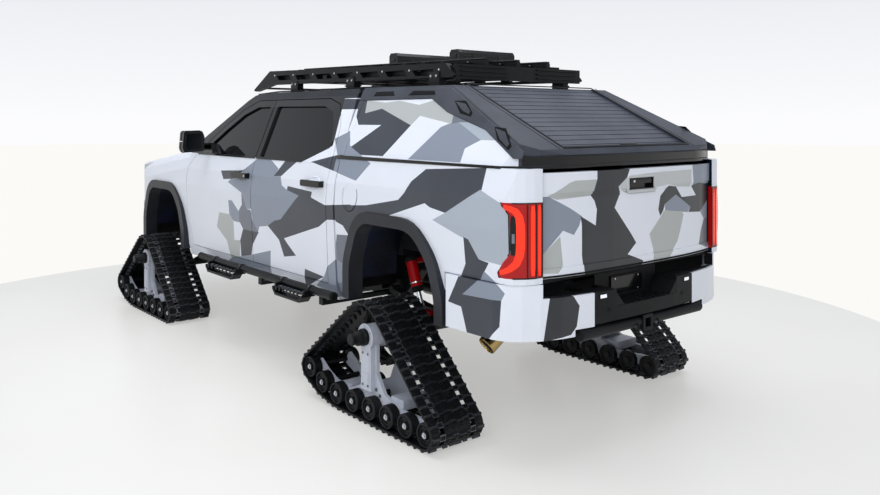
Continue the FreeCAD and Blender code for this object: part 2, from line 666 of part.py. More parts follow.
def make_cap():
    """Sides, dark frame and slatted cover of the cap."""
    foot = [(BED_BACK_X - 3, BED_RAIL_Z), (BED_FRONT_X + 22, BED_RAIL_Z)]
    body = side_prism(cap_outline(0.0) + foot, -1000, 1000)
    section = mirrored([(cap_y(BED_RAIL_Z), BED_RAIL_Z), (cap_y(CAP_HIGH), CAP_HIGH)])
    block = cross_prism(section, BED_FRONT_X + 30, BED_BACK_X - 20).common(body).common(cap_plan(0.0))
    thin = mirrored([(cap_y(BED_RAIL_Z) - 36, BED_RAIL_Z - 1), (cap_y(CAP_HIGH) - 36, CAP_HIGH)])
    room = cross_prism(thin, BED_FRONT_X + 40, BED_BACK_X - 40).common(cap_plan(46.0))
    room = room.common(side_prism(cap_outline(44.0) + [(-2893, 1500), (BED_FRONT_X + 42, 1500)], -1000, 1000))
    panel_zone = side_prism(fascia_outline() + [(-2893, 1500), (BED_FRONT_X + 22, 1500)], -1000, 1000)
    panel_zone = panel_zone.cut(box(-2776, BED_BACK_X - 50, -1000, 1000, 1400, 2200))
    walls = block.cut(room)
    front = walls.common(box(BED_FRONT_X + 30, BED_FRONT_X - 18, -1000, 1000, 1500, CAP_HIGH))
    sides = walls.common(panel_zone).common(box(-3000, BED_FRONT_X - 18, -1000, 1000, 1500, CAP_HIGH))
    save("cap_sides", [s for s in solids(sides) if s.Volume > 1000])
    window = box(BED_FRONT_X + 60, BED_FRONT_X - 20, -560, 560, 1600, 1990)
    cover_hole = box(CAP_KNEE_X + 26, -2846, -CAP_COVER_Y, CAP_COVER_Y, 1500, CAP_HIGH + 100)
    save("cap_frame", fuse([walls.cut(panel_zone).cut(cover_hole), front.cut(window)]).cut(window))
    save("cap_roller_cover", roller_cover())


def roller_cover():
    """Slats that follow the slope, joined by a thin sheet under them."""
    dx = -2850 - CAP_KNEE_X
    dz = CAP_END_Z - (CAP_TOP_Z - 10)
    length = math.hypot(dx, dz)
    start_x = CAP_KNEE_X + 26
    count = 15
    pieces = []
    sheet = box(0, length + 20, -CAP_COVER_Y, CAP_COVER_Y, -34, -22)
    pieces.append(sheet)
    pitch = (length + 20) / count
    for i in range(count):
        pieces.append(box(i * pitch, i * pitch + pitch - 7, -CAP_COVER_Y, CAP_COVER_Y, -22, -8))
    slats = fuse(pieces)
    slats.rotate(vec(0, 0, 0), vec(0, 1, 0), 180)
    slats = slats.mirror(vec(0, 0, 0), vec(0, 0, 1))
    angle = math.degrees(math.atan2(-dz, -dx))
    slats.rotate(vec(0, 0, 0), vec(0, 1, 0), -angle)
    slats.translate(vec(start_x, 0, CAP_TOP_Z - 2))
    limit = box(start_x, -2846, -CAP_COVER_Y, CAP_COVER_Y, 1500, CAP_HIGH + 100)
    return slats.common(limit)


# ---------------------------------------------------------------- roof rack
def rack_beam(y):
    """One lengthwise beam of the rack's deck, perforated along its side."""
    beam = side_prism([(440, 2285), (-1900, 2246), (-1900, 2172), (440, 2172)], y - 18, y + 18)
    for i in range(7):
        x = 250 - i * 314
        beam = beam.cut(box(x + 100, x - 100, y - 30, y + 30, 2208, 2232))
    return beam


def make_rack():
    """Side rails with slanted slots, deck beams, cross bars, a tail plate, feet and two long cases."""
    rail = [(800, 2108), (500, 2266), (-1855, 2211), (-1953, 2123), (-1880, 2118), (450, 2146), (760, 2096)]
    plate = side_prism(rounded(rail, 20), RACK_Y - RACK_T / 2, RACK_Y + RACK_T / 2)
    for i in range(7):
        x = 250 - i * 314
        z = 2200 - i * 7
        slot = [(x + 92, z - 20), (x + 128, z + 20), (x - 92, z + 20), (x - 128, z - 20)]
        plate = plate.cut(side_prism(slot, RACK_Y - 60, RACK_Y + 60))
    pieces = both_sides(plate)
    for x in (440, 35, -360, -755, -1150, -1545, -1905):
        pieces.append(box(x - 30, x + 30, -RACK_Y, RACK_Y, 2170, 2196))
    pieces.append(box(700, 745, -RACK_Y, RACK_Y, 2118, 2134))
    pieces.append(box(-1935, -1910, -RACK_Y, RACK_Y, 2108, 2205))
    beams = both_sides(rack_beam(300.0)) + [rack_beam(0.0)]
    for x in (70, -760, -1745):
        pieces.extend(both_sides(box(x - 55, x + 55, RACK_Y - 28, RACK_Y + 28, 2020, 2160)))
    rack = fuse(pieces + beams)
    lid = side_prism(cap_outline(0.0) + [(-2850, 1900), (BED_FRONT_X + 22, 1900)], -900, 900)
    rack = rack.cut(cab_block()).cut(lid)
    save("roof_rack", rack)
    cases = []
    for x, z0, z1 in ((-830, 2250, 2356), (-1545, 2240, 2338)):
        case = [(x - 50, z0), (x + 50, z0), (x + 50, z1 - 22), (x + 34, z1), (x - 34, z1), (x - 50, z1 - 22)]
        cases.append(side_prism(case, -262, 272).cut(rack))
    save("ski_carriers", cases)


# ---------------------------------------------------------------- sides and rear fittings
def make_side_steps():
    """Side bars with drop steps, held by brackets from the chassis rails."""
    bar_z = 645.0
    bar_y = 1030.0
    bar = rod((1000, bar_y, bar_z), (-1170, bar_y, bar_z), 29)
    pieces = [bar]
    for x0, x1 in ((180, 708), (-891, -464)):
        low = [(x0, 600), (x0 + 40, 560), (x1 - 40, 560), (x1, 600), (x1, 620), (x1 - 46, 578), (x0 + 46, 578),
               (x0, 620)]
        pieces.append(side_prism(low, bar_y + 10, bar_y + 90))
        for x in (x0 + 12, x1 - 12):
            pieces.append(box(x - 12, x + 12, bar_y - 20, bar_y + 70, 600, bar_z))
    for x in (800, -100, -1000):
        pieces.append(box(x - 25, x + 25, RAIL_Y + RAIL_W / 2, bar_y, 560, 590))
        pieces.append(box(x - 25, x + 25, bar_y - 30, bar_y, 560, bar_z))
    save("side_steps", both_sides(fuse(pieces)))


def bumper_plan():
    """Plan view of the rear bumper's outside."""
    half = [(TAIL_X, 0)] + BUMPER_PLAN
    return half + [(x, -y) for x, y in reversed(half[1:])]


def make_rear_bumper():
    """Rear bumper: painted ends, a black middle with its treads and plate recess; and the tow hitch."""
    top = 888.0
    outer = bumper_plan()
    inner = [(-2905, 0), (-2905, 480), (-2860, 700), (-2826, 800), (-2790, 868), (-2730, 930), (-2680, 945),
             (-2200, 946)]
    hollow = plan_prism(inner + [(x, -y) for x, y in reversed(inner[1:])], 600, 1100)
    shell = plan_prism(outer, 665, 965).cut(hollow)
    middle_zone = box(-3000, -2600, -BUMPER_SPLIT_Y, BUMPER_SPLIT_Y, 600, 1000)
    above = box(-3000, -2700, -812, 812, top, 1000)
    deck = plan_prism(grown(outer, -14), top - 18, top).common(box(-3000, -2852, -806, 806, 800, 900))
    tube_room = box(-3000, -2800, -610, 610, 600, 702)
    floor_room = box(-2838, -2700, -875, 875, 945, 1000)
    ends = shell.cut(above).cut(middle_zone).cut(tube_room).cut(floor_room).cut(deck)
    save("rear_bumper", solids(ends))
    middle = plan_prism(outer, 712, top).cut(hollow).common(middle_zone)
    notch = box(TAIL_X - 1, -2801, -290, 290, 790, top + 10)
    step = plan_prism(outer, 760, 790).common(box(-3000, -2790, -290, 290, 700, 900))
    recess = [box(-2801, -2790, -290, 290, 760, 945)]
    recess.extend(both_sides(box(-2910, -2790, 290, 301, 760, top)))
    arms = [box(-2700, -2906, y - 38, y + 38, 740, 860) for y in (RAIL_Y, -RAIL_Y)]
    middle = fuse([middle.cut(notch), deck.cut(notch), step] + recess + arms)
    save("bumper_step", middle)
    tube = rod((-2925, 570, 664), (-2925, -570, 664), 34)
    receiver = box(-2962, -2700, -38, 38, 618, 694).cut(box(-2970, -2690, -25.5, 25.5, 630.5, 681.5))
    tube = tube.cut(box(-2970, -2690, -38, 38, 618, 694))
    pin = rod((-2850, -60, 656), (-2850, 60, 656), 8)
    hangers = [box(-2903, -2878, y - 30, y + 30, 640, 740) for y in (RAIL_Y, -RAIL_Y)]
    save("tow_hitch", fuse([receiver, tube] + hangers).cut(pin))


# ---------------------------------------------------------------- chassis
def rail_outline():
    """Side view of a chassis rail with its rise over the rear axle."""
    low = RAIL_TOP_Z - RAIL_H
    return [(2600, low + 95), (2600, RAIL_TOP_Z + 70), (1560, RAIL_TOP_Z + 70), (1405, RAIL_TOP_Z - 45),
            (-1112, RAIL_TOP_Z - 45), (-1330, 910), (-2700, 910), (-2700, 790), (-1380, 790), (-1160, low),
            (1300, low), (1500, low + 95)]


def make_chassis():
    """Ladder frame, and the engine as one block."""
    rail = side_prism(rail_outline(), RAIL_Y - RAIL_W / 2, RAIL_Y + RAIL_W / 2)
    pieces = both_sides(rail)
    for x, z in ((2480, 700), (1120, 562), (300, 600), (-560, 600), (-1420, 850), (-2080, 850), (-2620, 850)):
        half = 18 if x == 1120 else 35
        pieces.append(box(x - 40, x + 40, -RAIL_Y, RAIL_Y, z - half, z + half))
    for x in (1150, 100, -950):
        for sign in (1, -1):
            y = sign * (RAIL_Y + 60)
            pieces.append(box(x - 35, x + 35, sign * RAIL_Y, y + sign * 35, 600, 630))
            pieces.append(rod((x, y, 620), (x, y, DOOR_Z - 5 - FLOOR_T), 30))
    support = box(2500, 2540, -960, 960, 950, 1000).common(front_block(FENDER_T))
    pieces.append(support)
    for y in (RAIL_Y, -RAIL_Y):
        pieces.append(box(2500, 2540, y - 36, y + 36, RAIL_TOP_Z + 70, 950))
    save("chassis_frame", fuse(pieces))
    mounts = [box(1700, 1780, -RAIL_Y + RAIL_W / 2, RAIL_Y - RAIL_W / 2, 700, 740)]
    block = box(1480, 2260, -300, 300, 740, 1330)
    gearbox = box(560, 1480, -140, 140, 580, DOOR_Z - 5 - FLOOR_T - 5)
    bell = box(1440, 1600, -200, 200, 600, 800)
    save("engine_block", fuse([block, gearbox, bell] + mounts))


def make_exhaust():
    """Exhaust pipe with its silencer and bright tip."""
    low_z = 505.0
    high_z = 700.0
    y = -230.0
    route = [(1540, y, 718), (1310, y, low_z), (-1240, y, low_z), (-1330, y, high_z), (-2470, y, high_z),
             (-2470, 620, high_z)]
    pieces = [rod(route[i], route[i + 1], 30) for i in range(len(route) - 1)]
    pieces.extend(Part.makeSphere(30, vec(*spot)) for spot in route[1:])
    pieces.append(rod((-650, y, low_z), (-1180, y, low_z), 95))
    pieces.append(box(300 - 15, 300 + 15, y - 12, y + 12, low_z, 565))
    pieces.append(box(-2080 - 15, -2080 + 15, y - 12, y + 12, high_z, 815))
    tip = rod((-2470, 600, high_z - 5), (-2438, 800, 548), 47)
    mouth = rod((-2455, 700, 622), (-2434, 826, 528), 41)
    save("exhaust", fuse(pieces + [tip]).cut(mouth))


def make_rear_axle():
    """Beam axle with its differential, leaf springs, shackles and the stubs that carry the tracks."""
    beam = rod((REAR_AXLE_X, -770, HUB_Z), (REAR_AXLE_X, 770, HUB_Z), 48)
    diff = Part.makeSphere(140, vec(REAR_AXLE_X, 0, HUB_Z))
    nose = rod((REAR_AXLE_X, 0, HUB_Z), (REAR_AXLE_X + 260, 0, HUB_Z + 20), 70)
    shaft = rod((REAR_AXLE_X + 250, 0, HUB_Z + 20), (560, 0, 522), 34)
    yoke = box(500, 560, -60, 60, 490, 580)
    pieces = [beam, diff, nose, shaft, yoke]
    spring_y = 510.0
    for sign in (1, -1):
        y = sign * spring_y
        leaf = [(REAR_AXLE_X + 600, 640), (REAR_AXLE_X + 200, 580), (REAR_AXLE_X - 200, 580), (REAR_AXLE_X - 640, 690),
                (REAR_AXLE_X - 640, 664), (REAR_AXLE_X - 200, 556), (REAR_AXLE_X + 200, 556),
                (REAR_AXLE_X + 600, 616)]
        pieces.append(side_prism(leaf, y - 32, y + 32))
        pieces.append(box(REAR_AXLE_X - 60, REAR_AXLE_X + 60, y - 50, y + 50, HUB_Z, 600))
        eye_y = sign * (RAIL_Y + RAIL_W / 2)
        pieces.append(rod((REAR_AXLE_X + 590, y + sign * 32, 628), (REAR_AXLE_X + 590, eye_y, 628), 26))
        pieces.append(box(REAR_AXLE_X + 565, REAR_AXLE_X + 620, eye_y, y - sign * 32, 600, 700))
        pieces.append(rod((REAR_AXLE_X - 630, y + sign * 32, 678), (REAR_AXLE_X - 630, eye_y, 678), 26))
        pieces.append(box(REAR_AXLE_X - 655, REAR_AXLE_X - 605, eye_y, y - sign * 32, 660, 860))
        pieces.append(rod((REAR_AXLE_X, sign * 750, HUB_Z), (REAR_AXLE_X, sign * 780, HUB_Z), 92))
        pieces.append(rod((REAR_AXLE_X, sign * 770, HUB_Z), (REAR_AXLE_X, sign * 1000, HUB_Z), SPINDLE_R))
    save("rear_axle", fuse(pieces))


def make_shocks():
    """Rear shock absorbers beside the springs, and the front spring struts."""
    pieces = []
    for sign in (1, -1):
        y = sign * 600
        top = (REAR_AXLE_X + 290, y, 900)
        mid = (REAR_AXLE_X + 205, y, 690)
        end = (REAR_AXLE_X + 150, y, 560)
        eye = (REAR_AXLE_X + 40, y, HUB_Z - 10)
        post = rod(top, mid, 38)
        stem = rod(mid, end, 15)
        foot = box(REAR_AXLE_X + 48.2, REAR_AXLE_X + 165, y - 22, y + 22, 505, 575)
        hold = rod((REAR_AXLE_X + 283, y, 880), (REAR_AXLE_X + 283, sign * 438, 880), 20)
        pieces.append(fuse([post, stem, foot, hold]))
        strut = rod((FRONT_AXLE_X, sign * 573, 554), (FRONT_AXLE_X, sign * 520, 940), 40)
        coil = rod((FRONT_AXLE_X, sign * 566, 610), (FRONT_AXLE_X, sign * 530, 870), 50)
        seat_top = box(FRONT_AXLE_X - 90, FRONT_AXLE_X + 90, sign * (RAIL_Y + RAIL_W / 2), sign * 590, 935, 955)
        tower = box(FRONT_AXLE_X - 90, FRONT_AXLE_X + 90, sign * (RAIL_Y + RAIL_W / 2), sign * 452, 736, 940)
        pieces.append(fuse([strut, coil, seat_top, tower]))
    save("shock_absorbers", pieces)


def make_front_suspension():
    """Wishbones, front differential and half shafts."""
    pieces = []
    diff = Part.makeSphere(120, vec(FRONT_AXLE_X, 0, HUB_Z + 10))
    pieces.append(diff)
    inner_y = RAIL_Y - RAIL_W / 2
    pieces.append(box(FRONT_AXLE_X - 60, FRONT_AXLE_X + 60, -inner_y, inner_y, 610, 650))
    pieces.append(box(FRONT_AXLE_X - 60, FRONT_AXLE_X + 60, -60, 60, 560, 650))
    for sign in (1, -1):
        joint_y = sign * (KINGPIN_Y - 30)
        rail_y = sign * (RAIL_Y + 20)
        pivot_y = sign * (RAIL_Y + RAIL_W / 2 + 14)
        for dx in (-230, 230):
            pieces.append(rod((FRONT_AXLE_X + dx, rail_y, 470), (FRONT_AXLE_X, joint_y, 420), 26))
            pieces.append(rod((FRONT_AXLE_X + dx * 0.7, pivot_y, 720), (FRONT_AXLE_X, joint_y, 700), 14))
        pieces.append(rod((FRONT_AXLE_X - 270, rail_y, 470), (FRONT_AXLE_X + 270, rail_y, 470), 30))
        pieces.append(rod((FRONT_AXLE_X - 190, pivot_y, 720), (FRONT_AXLE_X + 190, pivot_y, 720), 14))
        for dx in (-230, 230):
            pieces.append(box(FRONT_AXLE_X + dx - 30, FRONT_AXLE_X + dx + 30, sign * 385, sign * 440, 470, 639))
        pieces.append(Part.makeSphere(34, vec(FRONT_AXLE_X, joint_y, 420)))
        pieces.append(Part.makeSphere(26, vec(FRONT_AXLE_X, joint_y, 700)))
        pieces.append(rod((FRONT_AXLE_X, 0, HUB_Z), (FRONT_AXLE_X, sign * (KINGPIN_Y - 65), HUB_Z), 22))
        for dx in (-36, 36):
            pieces.append(box(FRONT_AXLE_X + dx - 9, FRONT_AXLE_X + dx + 9, sign * 540, sign * 610, 430, 548))
        pieces.append(rod((FRONT_AXLE_X - 60, sign * 575, 445), (FRONT_AXLE_X + 60, sign * 575, 445), 26))
    save("front_suspension", fuse(pieces))


def knuckle():
    """Left upright on its two ball joints, with the stub that carries the track unit."""
    post = box(FRONT_AXLE_X - 40, FRONT_AXLE_X + 40, KINGPIN_Y + 6, KINGPIN_Y + 40, 380, 740)
    low = rod((FRONT_AXLE_X, KINGPIN_Y - 30, 345), (FRONT_AXLE_X, KINGPIN_Y - 30, 420 - 34 - SEAT), 30)
    low_arm = box(FRONT_AXLE_X - 30, FRONT_AXLE_X + 30, KINGPIN_Y - 60, KINGPIN_Y + 40, 345, 380)
    high_arm = box(FRONT_AXLE_X - 26, FRONT_AXLE_X + 26, KINGPIN_Y - 56, KINGPIN_Y + 40, 726 + SEAT, 750)
    flange = rod((FRONT_AXLE_X, KINGPIN_Y + 20, HUB_Z), (FRONT_AXLE_X, 790, HUB_Z), 92)
    stub = rod((FRONT_AXLE_X, 780, HUB_Z), (FRONT_AXLE_X, 1000, HUB_Z), SPINDLE_R)
    arm = box(FRONT_AXLE_X - 190, FRONT_AXLE_X, KINGPIN_Y + 8, KINGPIN_Y + 36, 440, 475)
    return fuse([post, low, low_arm, high_arm, flange, stub, arm])


def make_knuckles():
    """Left and right uprights."""
    upright = knuckle()
    save("knuckle_left", upright)
    save("knuckle_right", other_side(upright))


# ---------------------------------------------------------------- track units
def wheel_places():
    """Centres (x, z) of a unit's lower wheels from its hub, the raised front wheel first."""
    rest = [(470, GROUND_Z + 30)]
    for i in range(6):
        rest.append((300 - i * 180, GROUND_Z))
    return [(IDLER_X, IDLER_Z)] + rest


def hull_of_circles(extra):
    """Belt line: the tight loop round sprocket and wheels, moved out by a distance."""
    circles = [(0.0, HUB_Z, SPROCKET_R)] + [(x, z, ROLLER_R) for x, z in wheel_places()]
    points = []
    for x, z, r in circles:
        for i in range(36):
            turn = math.radians(i * 10)
            points.append((x + (r + extra) * math.cos(turn), z + (r + extra) * math.sin(turn)))
    return convex(points)


def convex(points):
    """Convex hull of points, counter-clockwise."""
    ordered = sorted(set((round(x, 4), round(z, 4)) for x, z in points))

    def half(path):
        chain = []
        for p in path:
            while len(chain) > 1 and turn_of(chain[-2], chain[-1], p) <= 0:
                chain.pop()
            chain.append(p)
        return chain[:-1]

    return half(ordered) + half(list(reversed(ordered)))


def turn_of(a, b, c):
    """Positive when a, b, c turn left."""
    return (b[0] - a[0]) * (c[1] - a[1]) - (b[1] - a[1]) * (c[0] - a[0])


def toothed_loop():
    """The belt line with its cross lugs, as one closed outline."""
    path = hull_of_circles(BELT_T)
    legs = []
    for a, b in zip(path, path[1:] + path[:1]):
        legs.append((a, b, math.hypot(b[0] - a[0], b[1] - a[1])))
    pitch = sum(leg[2] for leg in legs) / LUG_COUNT

    def at(s, lift):
        for a, b, size in legs:
            if s <= size:
                ux = (b[0] - a[0]) / size
                uz = (b[1] - a[1]) / size
                return (a[0] + ux * s + uz * lift, a[1] + uz * s - ux * lift)
            s -= size
        return path[0]

    points = []
    for i in range(LUG_COUNT):
        start = (i + 0.2) * pitch
        for share, lift in ((0.0, 0.0), (0.09, LUG_H), (0.51, LUG_H), (0.60, 0.0)):
            points.append(at(start + share * pitch, lift))
    return points


def belt(axle_x):
    """Left belt loop at an axle, with its lugs."""
    outer = [(axle_x + x, z) for x, z in toothed_loop()]
    inner = [(axle_x + x, z) for x, z in hull_of_circles(0.0)]
    whole = side_prism(outer, TRACK_IN_Y, TRACK_OUT_Y)
    return whole.cut(side_prism(inner, TRACK_IN_Y - 10, TRACK_OUT_Y + 10))


def frame_plate(y0, y1, axle_x):
    """One curved plate along the wheels with its post up to the hub."""
    arc = [(590, 245), (500, 190), (400, 150), (230, 138), (110, 190), (62, 300), (62, HUB_Z), (-62, HUB_Z),
           (-62, 300), (-140, 190), (-300, 140), (-560, 150), (-640, 110), (-620, 78), (300, 78), (480, 105),
           (640, 170)]
    return side_prism([(axle_x + x, z) for x, z in arc], y0, y1)


def track_frame(axle_x):
    """White frame: two plates, cross beams, the hub sleeve on the stub and its end cap."""
    out_plate = frame_plate(1112, 1136, axle_x)
    in_plate = frame_plate(880, 904, axle_x)
    beam = box(axle_x - 300, axle_x - 180, 904, 1112, 130, 190)
    beam_two = box(axle_x + 250, axle_x + 350, 904, 1112, 100, 150)
    sleeve = rod((axle_x, 1004, HUB_Z), (axle_x, 1180, HUB_Z), 74)
    neck = rod((axle_x, 791, HUB_Z), (axle_x, 1150, HUB_Z), 62)
    post = box(axle_x - 52, axle_x + 52, 1112, 1172, 190, HUB_Z)
    bore = rod((axle_x, 700, HUB_Z), (axle_x, 1000 + SEAT, HUB_Z), SPINDLE_R + SEAT)
    return fuse([out_plate, in_plate, beam, beam_two, neck, sleeve, post]).cut(bore)


def track_wheels(axle_x):
    """Rollers in two rows on their pins, the sprocket, and the black end cap of the hub."""
    pieces = []
    for x, z in wheel_places():
        here = axle_x + x
        pieces.append(rod((here, 1136, z), (here, 1200, z), ROLLER_R - SEAT))
        pieces.append(rod((here, 836, z), (here, 880, z), ROLLER_R - SEAT))
    teeth = ring((axle_x, 960, HUB_Z), (axle_x, 1060, HUB_Z), SPROCKET_R - 4 * SEAT, SPROCKET_R - 36)
    disc = ring((axle_x, 1000, HUB_Z), (axle_x, 1018, HUB_Z), SPROCKET_R - 30, 74)
    for i in range(6):
        turn = math.radians(i * 60)
        x = axle_x + 122 * math.cos(turn)
        z = HUB_Z + 122 * math.sin(turn)
        disc = disc.cut(rod((x, 990, z), (x, 1030, z), 36))
    cap = rod((axle_x, 1180, HUB_Z), (axle_x, 1262, HUB_Z), 60)
    lip = rod((axle_x, 1262, HUB_Z), (axle_x, 1290, HUB_Z), 46)
    return pieces + [fuse([teeth, disc]), fuse([cap, lip])]


def make_tracks():
    """Belt, frame and wheels of the four units."""
    for end, axle_x in (("front", FRONT_AXLE_X), ("rear", REAR_AXLE_X)):
        loop = belt(axle_x)
        frame = track_frame(axle_x)
        wheels = Part.makeCompound(track_wheels(axle_x))
        for side in ("left", "right"):
            place = (lambda s: s) if side == "left" else other_side
            save("track_belt_%s_%s" % (end, side), place(loop))
            save("track_frame_%s_%s" % (end, side), place(frame))
            save("track_wheels_%s_%s" % (end, side), place(wheels))


make_cab()
make_doors()
make_interior()
make_front()
make_front_bumper()
make_flares()
make_bed()
make_tailgate()
make_cap()
make_rack()
make_side_steps()
make_rear_bumper()
make_chassis()
make_exhaust()
make_rear_axle()
make_shocks()
make_front_suspension()
make_knuckles()
make_tracks()
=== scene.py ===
"""The look of a tracked pickup truck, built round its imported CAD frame.

Metres. +X is forward, +Y is left, +Z is up. Pieces that come in pairs are drawn for the left side.
"""

import json
import math

import bmesh
import bpy
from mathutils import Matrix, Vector
from mathutils.geometry import convex_hull_2d, tessellate_polygon

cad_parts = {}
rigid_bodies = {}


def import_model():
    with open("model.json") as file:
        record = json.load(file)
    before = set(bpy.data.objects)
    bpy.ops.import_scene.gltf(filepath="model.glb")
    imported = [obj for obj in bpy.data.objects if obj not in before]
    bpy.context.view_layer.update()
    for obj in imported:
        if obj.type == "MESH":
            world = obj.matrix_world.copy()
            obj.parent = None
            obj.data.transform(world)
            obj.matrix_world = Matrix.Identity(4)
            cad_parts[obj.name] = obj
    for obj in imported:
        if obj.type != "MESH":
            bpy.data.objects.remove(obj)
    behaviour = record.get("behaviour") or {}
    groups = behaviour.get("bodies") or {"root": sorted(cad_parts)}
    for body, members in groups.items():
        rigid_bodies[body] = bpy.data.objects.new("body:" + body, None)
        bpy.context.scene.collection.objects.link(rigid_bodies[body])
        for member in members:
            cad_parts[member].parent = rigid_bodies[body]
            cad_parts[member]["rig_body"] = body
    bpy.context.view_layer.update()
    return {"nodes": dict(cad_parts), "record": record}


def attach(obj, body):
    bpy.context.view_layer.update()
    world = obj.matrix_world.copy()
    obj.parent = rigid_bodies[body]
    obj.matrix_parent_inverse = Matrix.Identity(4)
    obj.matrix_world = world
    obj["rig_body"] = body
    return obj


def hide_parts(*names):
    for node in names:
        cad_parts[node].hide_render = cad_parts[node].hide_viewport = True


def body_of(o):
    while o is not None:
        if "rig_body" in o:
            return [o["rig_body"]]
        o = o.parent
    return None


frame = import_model()
nodes = frame["nodes"]


def placed(name, data):
    """A new object of the scene that shows a mesh, a camera or a lamp."""
    obj = bpy.data.objects.new(name, data)
    bpy.context.scene.collection.objects.link(obj)
    return obj


def placed_mesh(name, mesh):
    """A new object of the scene from a finished bmesh."""
    data = bpy.data.meshes.new(name)
    mesh.to_mesh(data)
    mesh.free()
    return placed(name, data)


def round_edges(obj, name, width):
    """Rounds an object's sharp edges by a width in metres."""
    edge = obj.modifiers.new(name, "BEVEL")
    edge.width = width
    edge.segments = 2
    edge.limit_method = "ANGLE"
    edge.angle_limit = math.radians(38)


# ---------------------------------------------------------------- camera
def make_camera():
    """A camera behind and to the left of the truck, level, at eye height."""
    data = bpy.data.cameras.new("camera")
    data.sensor_width = 36.0
    data.lens = 33.38
    data.shift_x = 0.0132
    data.shift_y = -0.145
    data.clip_end = 200.0
    camera = placed("camera", data)
    camera.location = (-5.865, 4.030, 1.844)
    camera.rotation_euler = (math.radians(90), 0.0, math.radians(-129.166))
    bpy.context.scene.camera = camera


# ---------------------------------------------------------------- material helpers
def linear(code):
    """An sRGB hex colour as linear red, green and blue, opaque."""
    parts = [int(code[i:i + 2], 16) / 255 for i in (1, 3, 5)]
    return tuple(p / 12.92 if p <= 0.04045 else ((p + 0.055) / 1.055) ** 2.4 for p in parts) + (1.0,)


def add(mat, kind, inputs=(), **settings):
    """Adds a node with its settings; an input is a value or another node's output."""
    made = mat.node_tree.nodes.new("ShaderNode" + kind)
    for name, value in settings.items():
        setattr(made, name, value)
    for name, value in dict(inputs).items():
        if isinstance(value, bpy.types.NodeSocket):
            mat.node_tree.links.new(value, made.inputs[name])
        else:
            made.inputs[name].default_value = value
    return made


def surface(name, colour, **sockets):
    """A new material: its shader with plain values, and the object's own coordinates."""
    mat = bpy.data.materials.new(name)
    mat.use_nodes = True
    shader = mat.node_tree.nodes["Principled BSDF"]
    shader.inputs["Base Color"].default_value = linear(colour)
    for key, value in sockets.items():
        shader.inputs[key.replace("_", " ")].default_value = value
    place = add(mat, "TexCoord").outputs["Object"]
    return mat, shader, place


def feed(mat, shader, **links):
    """Joins outputs to a shader's sockets."""
    for key, value in links.items():
        mat.node_tree.links.new(value, shader.inputs[key.replace("_", " ")])


def moulded(name, colour, lighter, roughness, grain_size, grain_depth, **sockets):
    """Moulded or coated stuff: a fine grain of a size in metres, and soft patches a little lighter."""
    sockets.setdefault("Specular_IOR_Level", 0.2)
    mat, shader, place = surface(name, colour, Roughness=roughness, **sockets)
    cloud = add(mat, "TexNoise", {"Vector": place, "Scale": 1 / 0.22, "Detail": 3.0}).outputs[0]
    patches = add(mat, "MapRange", {0: cloud, 1: 0.35, 2: 0.7}).outputs[0]
    shade = add(mat, "Mix", {0: patches, 6: linear(colour), 7: linear(lighter)}, data_type="RGBA").outputs[2]
    fine = add(mat, "TexNoise", {"Vector": place, "Scale": 1 / grain_size, "Detail": 1.0}).outputs[0]
    dull = add(mat, "MapRange", {0: fine, 1: 0.3, 2: 0.7, 3: roughness - 0.05,
                                 4: roughness + 0.07}).outputs[0]
    bump = add(mat, "Bump", {"Height": fine, "Distance": grain_depth}).outputs[0]
    feed(mat, shader, Base_Color=shade, Roughness=dull, Normal=bump)
    return mat


# ---------------------------------------------------------------- splinter pattern
WRAP = {"white": "#E9ECF4", "mist": "#C6C8C8", "grey": "#B5B8B6", "pale": "#ACB4BE", "slate": "#89919F",
        "dusk": "#70747E", "charcoal": "#393D46", "graphite": "#2A2C31", "black": "#16181B"}

